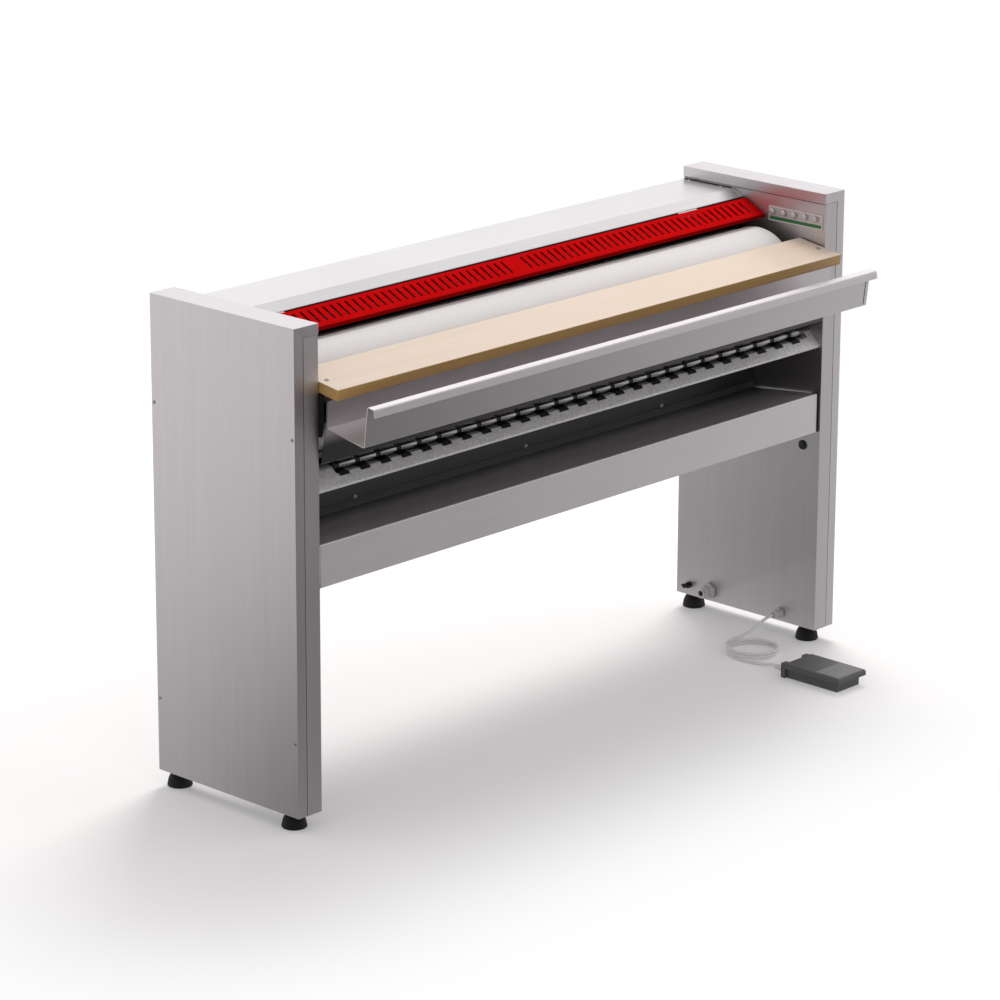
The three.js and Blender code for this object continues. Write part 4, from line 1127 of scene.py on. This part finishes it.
def finger_guard(finish, recipe):
    back, front = Vector(GUARD["back"]), Vector(GUARD["front"])
    way = (back - front).normalized()
    start = front + way * GUARD_BEND
    middle = (back + start) / 2
    slot_centre = (back + front) / 2 + Vector(GUARD_SLOTS)
    sizes = in_metres(
        width=2 * GUARD["half"],
        depth=(back - start).length,
        thickness=SHEET,
        slot_width=6.3,
        slot_length=41,
        pitch=20.78,
        middle=53.4,
        offset=(slot_centre - middle).dot(way),
    )
    plate = recipe.cook({**sizes, "Count": 35, "Finish": finish["red"]})
    along, slope = Vector((1, 0, 0)), Vector((0, way.x, way.y))
    stand = Matrix((along, slope, along.cross(slope))).transposed().to_4x4()
    plate.transform(Matrix.Translation(at(0, *middle)) @ stand)
    walk = [tuple(start + way * GUARD_OVERLAP), GUARD["front"], GUARD["lip"]]
    lip = folded(walk, -GUARD["half"], GUARD["half"], 1.0)
    near, far = EYE_SIDES
    sides = [xs for a, b in GUARD_HINGES for xs in ((a - far, a - near), (b + near, b + far))]
    eyes = [prism(GUARD_EYE, *xs) for xs in sides]
    extra = shape_mesh("guard_lip", lip, *eyes)
    whole = softened(joined("finger_guard_plate", plate, extra), 0.28, angle=40.0)
    piece("finger_guard_plate", whole, finish["red"], "guard", "red_paint", "finger_guard")
    for name in ("left", "right"):
        dress("guard_bracket_" + name, "guard_hinge_" + name, finish["steel"], 0.2)


# ---- feed table, controls, fittings ---------------------------------------------------------------
TABLE_SCREWS = [(-752, 0, 922.3), (752, 0, 922.3)]
TABLE_FACING = (0, -0.155, 0.988)


def feed_table(finish, screws):
    board = softened(merged_copy("feed_table"), 1.3, 3)
    piece("feed_table_board", board, finish["beech"], "frame", "beech", "feed_table")
    drive_screws("table_screws", screws, "table", TABLE_SCREWS, TABLE_FACING, finish["steel"])
    # painted shade: the brackets are blackened to stand in for the dark gap beside the tray's ends
    for name in ("left", "right"):
        dress("table_bracket_" + name, "table_support_" + name, finish["blackened"])


OUTFEED_AXLE = (0, 40, 729)


def outfeed(finish, recipe):
    sizes = in_metres(
        first=-667,
        pitch=58.04,
        sleeve=45,
        sleeve_radius=9.5,
        core_radius=7.6,
        axle_radius=2.5,
        axle_half=789.5,
    )
    kinds = {"Sleeve Finish": "roller", "Core Finish": "black", "Axle Finish": "steel"}
    values = {**sizes, "Count": 25, **{label: finish[kind] for label, kind in kinds.items()}}
    row = recipe.cook(values, None, bevel(0.7, 2, 50))
    row.transform(Matrix.Translation(at(*OUTFEED_AXLE)))
    round_shaded(row, 50)
    piece("outfeed_sleeves", row, None, "outfeed", "chrome", "outfeed_roller")
    dress("roller_rest_strip", "roller_rests", finish["black"], 0.25)
    dress("chute_plate", "chute_sheet", finish["chute"], 0.4)


# ---- control panel --------------------------------------------------------------------------------
PANEL = {"ys": (7.0, 160.0), "zs": (957.0, 991.0), "front": 773.3, "corner": 2.5, "hole": 5.1}
BUTTONS = {"ys": (145, 114, 85, 54, 25), "z": 980.0}
BUTTON_STEM = [(0, -18), (4.5, -18), (4.5, 4.8), (5.9, 4.8), (6.4, 5.3)]
BUTTON_DOME = [(6.4, 5.9), (6.1, 7.2), (5.2, 8.4), (3.7, 9.3), (1.9, 9.7), (0, 9.8)]
COLLAR = [(5.6, -0.2), (7.7, -0.2), (7.7, 0.8), (7.2, 1.3), (5.6, 1.3)]


def control_panel(finish):
    centres = [(PANEL["front"], y, BUTTONS["z"]) for y in BUTTONS["ys"]]
    outline = rounded_outline(PANEL["ys"], PANEL["zs"], PANEL["corner"])
    plate = shape_mesh("control_plate", prism(outline, PANEL["front"], WALL_X))
    bore = [(0, -3), (PANEL["hole"], -3), (PANEL["hole"], 3), (0, 3)]
    plate = cut_with(plate, [turned(bore, centre, "-x", 32) for centre in centres])
    plate = softened(plate, 0.2, angle=40.0)
    slot = slot_of["control_panel_plate"]
    piece("control_plate", plate, finish["print"], "frame", slot, "control_panel_plate")
    rings = shape_mesh("button_collars", *(turned(COLLAR, centre, "-x", 40) for centre in centres))
    piece("button_collars", smoothed(rings, 35), finish["button"], "frame", "chrome")
    for i, centre in enumerate(centres, 1):
        name = f"button_cap_{i}"
        cap = lathed(name, BUTTON_STEM + BUTTON_DOME, centre, "-x", 40, 40)
        piece(name, cap, finish["button"], f"push_button_{i}", "chrome", f"button_{i}")


# ---- fittings low on the right cabinet, and the feet ----------------------------------------------
# Fittings on the right inner panel, each at (y, z); the profiles are (radius, distance from the panel).
SUPPLY_GLAND = {
    "place": (310, 60), "flats": 36, "nut": 15.5, "nose": 11.5, "reach": 32,
    "bore": 7, "hole": 4.6, "seal_end": 29.5,
}
PEDAL_GLAND = {
    "place": (100, 55.5), "flats": 22, "nut": 9.6, "nose": 7, "reach": 26,
    "bore": 4.4, "hole": 0, "seal_end": 26.3,
}
PLUG_PLACE, STUD_PLACE = (47.5, 461.8), (372, 60)
PLUG = [(0, 0), (11, 0), (11, 1.6), (10.2, 2.7), (8, 3.5), (4, 4.05), (0, 4.2)]
WING_NUT = [(0, 0), (7.5, 0), (7.5, 6.4), (6.2, 9)]
WINGS = {"out": (6, 14), "ys": ((359, 366.4), (377.6, 385)), "zs": (57.6, 62.4)}
FOOT = [  # (radius, height above the floor), as in the neck
    (0, 0), (24.4, 0), (26, 1.6), (26, 4.6), (25.4, 5.7), (25, 6.2),
    (25, 7), (24.7, 10), (23.7, 15), (21.4, 21),
]
FOOT_NECK = [(17.8, 26.5), (13.8, 30.4), (11.4, 32.8), (11, 35.5), (0, 35.5)]
FOOT_X, FOOT_YS = 806.0, {"front": 47, "back": 383}


def threaded(radius, start, end, pitch=1.5, depth=0.5):
    """Rows of a screw thread's ridges."""
    rows = []
    for i in range(int((end - start) / pitch)):
        rows += [(radius - depth, start + i * pitch), (radius, start + (i + 0.5) * pitch)]
    return rows


def gland(name, finish, place, flats, nut, nose, reach, bore, hole, seal_end):
    """A hexagon on the panel, a fluted nut that narrows to its nose, and the seal in its bore."""
    centre = (WALL_X, *place)
    corner = flats / math.sqrt(3)
    base = [(0, 0), (corner, 0), (corner, reach * 0.3), (0, reach * 0.3)]
    base = shape_mesh("base", turned(base, centre, "-x", 6, spin=math.pi / 2))
    hexagon = softened(base, 0.8, 3)
    rows = [(bore, reach * 0.24), (nut - 0.9, reach * 0.24), (nut - 0.9, reach * 0.32)]
    rows += [(nut, reach * 0.35, True), (nut, reach * 0.57, True)]
    rows += [(nut * 0.92, reach * 0.63), (nose * 1.08, reach * 0.79), (nose, reach * 0.83)]
    rows += [(nose, reach - 0.6), (nose - 0.6, reach), (bore + 0.5, reach), (bore, reach - 0.6)]
    cap = lathed("cap", rows, centre, "-x", 84, 28, flutes=14, flute_depth=1.3)
    body = joined(name + "_body", hexagon, cap)
    piece(name + "_body", body, finish["grey"], "frame", "grey_plastic", name)
    ring = [(hole, reach * 0.5), (bore - 0.05, reach * 0.5), (bore - 0.05, seal_end), (hole, seal_end)]
    seal = lathed(name + "_seal", ring, centre, "-x", 36)
    piece(name + "_seal", seal, finish["pedal"], "frame", "rubber")


def fittings(finish):
    gland("supply_gland", finish, **SUPPLY_GLAND)
    gland("pedal_gland", finish, **PEDAL_GLAND)
    rows = WING_NUT + threaded(4, 9, 19.5, 1.2, 0.4) + [(3.4, 20), (0, 20)]
    stud = lathed("stud", rows, (WALL_X, *STUD_PLACE), "-x", 32)
    root, tip = WINGS["out"]
    wings = [block((WALL_X - tip, WALL_X - root), ys, WINGS["zs"]) for ys in WINGS["ys"]]
    wing_nut = joined("earth_stud_and_wing_nut", stud, softened(shape_mesh("wings", *wings), 1.9, 4))
    piece("earth_stud_and_wing_nut", wing_nut, finish["blackened"], "frame", "machined_steel", "earth_stud")
    plug = lathed("blanking_plug", PLUG, (WALL_X, *PLUG_PLACE), "-x", 40)
    piece("blanking_plug", plug, finish["black"], "frame", "black_plastic", "wall_plug")


def feet(finish):
    thread = [(0, 35.6), *threaded(5.7, 35.6, 61), (5, 61.6), (0, 62)]
    for side, name in ((-1, "left"), (1, "right")):
        for end, y in FOOT_YS.items():
            node = f"{name}_{end}_foot"
            centre = (side * FOOT_X, y, 0)
            pad = lathed("pad", FOOT + FOOT_NECK, centre, "z", 56)
            piece(node + "_pad", pad, finish["rubber"], body_of[node], slot_of[node], node)
            stud = lathed("stud", thread, centre, "z", 24, 50)
            piece(node + "_stud", stud, finish["zinc"], body_of[node], "machined_steel")


# ---- foot pedal -----------------------------------------------------------------------------------
TREADLE = {"xs": (556.0, 650.0), "ys": (-248.0, -93.5), "zs": (22.5, 35.0), "wall": 3.0, "slope": 3.6}
PEDAL_PIN = (-90.0, 21.0)
PIN_HOLE = [(0, -2), (3, -2), (3, 8), (0, 8)]
LUGS = {"xs": (579, 623), "width": 6, "ys": (-106, -98, -85), "zs": (17, 26)}
PAD = {"x": 603.0, "length": 81.0, "ys": (-242.0, -178.0), "first": -239.6, "pitch": 2.45, "bars": 25}
RELIEF_END = (582, -80.6, 12)
RELIEF = {"ribs": 8, "first": 3.6, "pitch": 4, "radius": 8.3, "taper": 0.097, "groove": 0.9}


def treadle(finish):
    (x0, x1), (y0, y1), (z0, z1) = TREADLE["xs"], TREADLE["ys"], TREADLE["zs"]
    wall, slope = TREADLE["wall"], TREADLE["slope"]
    outline = [(y0, z0), (y0, z1 - slope), (y0 + slope, z1), (y1, z1), (y1, z0)]
    hollow = block((x0 + wall, x1 - wall), (y0 + wall, y1 + 1), (z0 - 1, z1 - wall))
    shell = softened(cut_with(shape_mesh("shell", prism(outline, x0, x1)), [hollow]), 1.1, 3)
    (front, inner, back), (low, high) = LUGS["ys"], LUGS["zs"]
    lug = [(front, low), (back, low), (back, high), (inner, high), (inner, z1 - wall), (front, z1 - wall)]
    lugs = []
    for x in LUGS["xs"]:
        hole = turned(PIN_HOLE, (x, *PEDAL_PIN), "x", 24)
        lugs.append(softened(cut_with(shape_mesh("lug", prism(lug, x, x + LUGS["width"])), [hole]), 0.4))
    whole = joined("treadle_shell", shell, *lugs)
    piece("treadle_shell", whole, finish["pedal"], "treadle", slot_of["pedal_treadle"], "pedal_treadle")


def treadle_pad(finish, bars):
    """A thin pad with ribs across it."""
    top, half = TREADLE["zs"][1], PAD["length"] / 2 + 1
    sizes = in_metres(length=PAD["length"], width=1.7, height=0.7, pitch=PAD["pitch"], corner=0.4)
    ribs = bars.cook({**sizes, "Count": PAD["bars"], "Finish": finish["pedal_pad"]})
    ribs.transform(Matrix.Translation(at(PAD["x"], PAD["first"], top + 1.2)))
    base = block((PAD["x"] - half, PAD["x"] + half), PAD["ys"], (top - 0.4, top + 0.7))
    base = softened(shape_mesh("base", base), 0.35)
    pad = joined("treadle_pad", base, softened(ribs, 0.2, angle=40.0))
    piece("treadle_pad", pad, finish["pedal_pad"], "treadle", "rubber")


def strain_relief(finish):
    """The ribbed sleeve where the cord enters the pedal, narrowing towards the cord."""
    rows = [(0, 0), (8.6, 0), (9, 0.5), (9, 2.6)]
    for i in range(RELIEF["ribs"]):
        start = RELIEF["first"] + RELIEF["pitch"] * i
        outer = RELIEF["radius"] - start * RELIEF["taper"]
        inner = outer - RELIEF["groove"]
        rows += [(inner, start - 0.9), (inner, start + 0.3), (outer, start + 0.7), (outer, start + 2.3)]
    rows += [(4.7, 34.6), (4.7, 35.6), (4.3, 36), (0, 36)]
    sleeve = lathed("sleeve", rows, RELIEF_END, "y", 36)
    slot = slot_of["pedal_cord_sleeve"]
    piece("pedal_cord_relief", sleeve, finish["cord"], "frame", slot, "pedal_cord_sleeve")


def pedal(finish, bars):
    treadle(finish)
    treadle_pad(finish, bars)
    dress("pedal_base", "pedal_tray", finish["pedal"], 0.6)
    dress("pedal_switch", "pedal_switch_case", finish["black"], 0.6)
    strain_relief(finish)


# ---- what is inside -------------------------------------------------------------------------------
INSIDE = {
    "left_base_plate": ("left_base", "zinc"),
    "right_base_plate": ("right_base", "zinc"),
    "roll_drum": ("drum_shell", "steel"),
    "roll_shaft": ("drum_shaft", "steel"),
    "roll_sprocket": ("drum_sprocket", "steel"),
    "roll_bearing_left": ("left_bearing_flange", "steel"),
    "roll_bearing_right": ("right_bearing_flange", "steel"),
    "motor_sprocket": ("motor_spindle", "steel"),
    "gearmotor": ("gearmotor_case", "motor"),
    "electrical_box": ("electrical_case", "grey"),
    "heated_chest": ("ironing_chest", "aluminium"),
    "heater_upper": ("upper_heating_element", "steel"),
    "heater_lower": ("lower_heating_element", "steel"),
    # painted shade: the heat shield takes the darkened sheet so that the guard's slots read dark
    "chest_shield": ("heat_shield", "shaded"),
    "chest_hanger": ("chest_arms", "blackened"),
    "press_actuator": ("press_cylinder", "motor"),
    "press_rod": ("press_plunger_rod", "chrome"),
}
CHAIN = {"x": 800.0, "roll": (157.0, 838.0), "motor": (300.0, 622.0), "pitch": 12.7, "above_pitch_line": 6.8}
TEETH = {"roll": 30, "motor": 12}
ARC_STEPS = 40


def chain_path():
    """The chain's middle line: an arc round each sprocket, joined by the straight runs."""
    centres = [Vector(CHAIN[name]) for name in TEETH]
    radii = [
        CHAIN["pitch"] / 2 / math.sin(math.pi / teeth) + CHAIN["above_pitch_line"]
        for teeth in TEETH.values()
    ]
    between = centres[1] - centres[0]
    lean = math.atan2(between.y, between.x)
    reach = math.acos((radii[0] - radii[1]) / between.length)
    arcs = ((lean + reach, lean - reach + 2 * math.pi), (lean - reach, lean + reach))
    points = []
    for centre, radius, (start, end) in zip(centres, radii, arcs):
        for i in range(ARC_STEPS + 1):
            angle = start + (end - start) * i / ARC_STEPS
            y, z = centre.x + radius * math.cos(angle), centre.y + radius * math.sin(angle)
            points.append((CHAIN["x"], y, z))
    return points


def inside(finish, links):
    for node, (name, kind) in INSIDE.items():
        dress(node, name, finish[kind], 0.35)
    points = [at(*p) for p in chain_path()]
    mesh = bpy.data.meshes.new("chain_path")
    mesh.from_pydata(points, [(i, (i + 1) % len(points)) for i in range(len(points))], [])
    length = sum((b - a).length for a, b in zip(points, points[1:] + points[:1]))
    count = 2 * round(length / (CHAIN["pitch"] * MM) / 2)
    sizes = in_metres(plate_height=7.2, plate=1.1, inner_width=5.4, outer_width=7.9, roller_radius=3.1)
    values = {**sizes, "Pitch": length / count, "Count": count, "Finish": finish["steel"]}
    chain = smoothed(links.cook(values, mesh), 35)
    piece("roller_chain", chain, finish["steel"], "frame", slot_of["drive_chain"], "drive_chain")


# ---- floor and light ------------------------------------------------------------------------------
FLOOR_HALF, FLOOR_Z = 30.0, -0.0002
FLOOR_COLOUR = (0.87, 0.845, 0.85, 1.0)
FLOOR_LIFT = 0.17  # of white, where the camera sees the floor near the machine
SECOND_HAND = 0.6  # of a mirror's light is lost once it has met a dull surface
WORLD_COLOUR = (1.0, 0.99, 0.99, 1.0)
WORLD_LIGHT = 0.68
KEY = {"place": (2.45, 1.75, 5.1), "aim": (0.0, 0.0, 0.5), "size": 2.4, "watts": 165.0}
KEY_COLOUR = (1.0, 0.99, 0.98)


def first_hand(ray):
    """Less where a mirror's light reaches the eye by way of a dull surface."""
    return 1 - ray["Diffuse Depth"].math("MINIMUM", 1.0) * SECOND_HAND


def mirrored_floor(x, y, ray):
    """How bright the floor is in metal: darker before the machine, in bands behind it."""
    along, across = x + y, y - x
    front = (along * 0.26 + 0.42).math("MAXIMUM", 0.2).math("MINIMUM", 0.75)
    depth = x * 0.93 + y  # the same on a cabinet's side from floor to top, as it is mirrored here
    left, dark, right = depth.rise(-0.95, -0.4), depth.rise(-0.2, 0.45), depth.rise(0.55, 1.1)
    sides = 0.62 + left * 0.6 - dark * 0.75 + right * 1.05
    behind = (across.rise(0.8, 5.4) * 0.58 + 0.42) * sides
    side = across.rise(-1.2, 0.3)
    return (front * (1 - side) + behind * side) * first_hand(ray)


def pale_floor():
    """A floor that keeps the machine's shadow and is white away from it."""
    near, far = -FLOOR_HALF, FLOOR_HALF
    corners = [(x, y, FLOOR_Z) for x, y in ((near, near), (far, near), (far, far), (near, far))]
    mesh = bpy.data.meshes.new("floor")
    mesh.from_pydata(corners, [], [(0, 1, 2, 3)])
    floor = bpy.data.objects.new("floor", mesh)
    scene.collection.objects.link(floor)
    floor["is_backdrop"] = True
    material = bpy.data.materials.new("pale floor")
    tree = Tree(emptied(material))
    x, y, _ = tree.parts(tree.node("ShaderNodeTexCoord")["Object"])
    ray = tree.node("ShaderNodeLightPath")
    seen = ray["Is Camera Ray"]
    mirrored = ray["Is Glossy Ray"].math("MAXIMUM", ray["Is Transmission Ray"])
    beside = (x.math("ABSOLUTE") - 1.0).math("MAXIMUM", 0.0) * 0.8
    before = (-0.1 - y).math("MAXIMUM", 0.0)
    away = (beside * beside + before * before).math("SQRT").rise(0.0, 0.85)
    lit = tree.node("ShaderNodeBsdfDiffuse", None, {"Color": FLOOR_COLOUR})["BSDF"]
    lift, white, mirror = (
        tree.node("ShaderNodeEmission", None, {"Strength": strength})["Emission"]
        for strength in (seen * FLOOR_LIFT, 1.0, mirrored_floor(x, y, ray))
    )
    shaded = tree.node("ShaderNodeAddShader", None, {0: lit, 1: lift})["Shader"]
    open_floor = tree.node("ShaderNodeMixShader", None, {0: away * seen, 1: shaded, 2: white})["Shader"]
    both = tree.node("ShaderNodeMixShader", None, {0: mirrored, 1: open_floor, 2: mirror})["Shader"]
    tree.node("ShaderNodeOutputMaterial", None, {"Surface": both})
    mesh.materials.append(material)


def studio():
    """A white surround, which is brighter in metal on the side behind the machine."""
    world = bpy.data.worlds.new("studio")
    tree = Tree(emptied(world))
    scene.world = world
    ray = tree.node("ShaderNodeLightPath")
    x, y, z = tree.parts(tree.node("ShaderNodeTexCoord")["Generated"])
    back = x * 0.7 + y * 0.7
    toward_back = back.rise(-0.75, 0.25) * 0.7 + 0.3
    screen = z.rise(0.37, 0.44) * (1 - z.rise(0.5, 0.6)) * 1.5 - z.rise(0.52, 0.64) * 0.55
    glossy = toward_back * (screen * back.rise(0.6, 0.8) + 1) * first_hand(ray)
    plain_white = ray["Is Camera Ray"].math("MAXIMUM", ray["Is Transmission Ray"])
    soft = ray["Is Diffuse Ray"] * WORLD_LIGHT
    level = (ray["Is Glossy Ray"] * glossy).math("MAXIMUM", plain_white).math("MAXIMUM", soft)
    inputs = {"Color": WORLD_COLOUR, "Strength": level}
    background = tree.node("ShaderNodeBackground", None, inputs)["Background"]
    tree.node("ShaderNodeOutputWorld", None, {"Surface": background})


def key_light():
    """A soft lamp high behind the machine, to its right."""
    light = bpy.data.lights.new("key", "AREA")
    light.shape, light.size, light.size_y = "RECTANGLE", KEY["size"], KEY["size"]
    light.energy, light.color = KEY["watts"], KEY_COLOUR
    made = bpy.data.objects.new("key", light)
    scene.collection.objects.link(made)
    made.location = KEY["place"]
    made.rotation_euler = (Vector(KEY["aim"]) - Vector(KEY["place"])).to_track_quat("-Z", "Y").to_euler()
    made.visible_camera = False
    made.visible_glossy = False


def main():
    place_camera()
    finish = make_finishes()
    lay_cord(finish["cord"])
    screws = fastener_set()
    plates = slotted_plate()
    cabinets(finish, screws)
    sheets(finish)
    rear_panel(finish, plates)
    end_trim(finish)
    sheet_screws(finish, screws)
    roll_cloth(finish)
    finger_guard(finish, plates)
    feed_table(finish, screws)
    outfeed(finish, roller_row())
    control_panel(finish)
    fittings(finish)
    feet(finish)
    pedal(finish, bar_row())
    inside(finish, chain_links())
    pale_floor()
    studio()
    key_light()
    scene.view_settings.view_transform = "Standard"
    boxes = [[list(corner) for corner in box] for box in (cad_box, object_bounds())]
    {"cad": boxes[0], "visual": boxes[1]}


main()
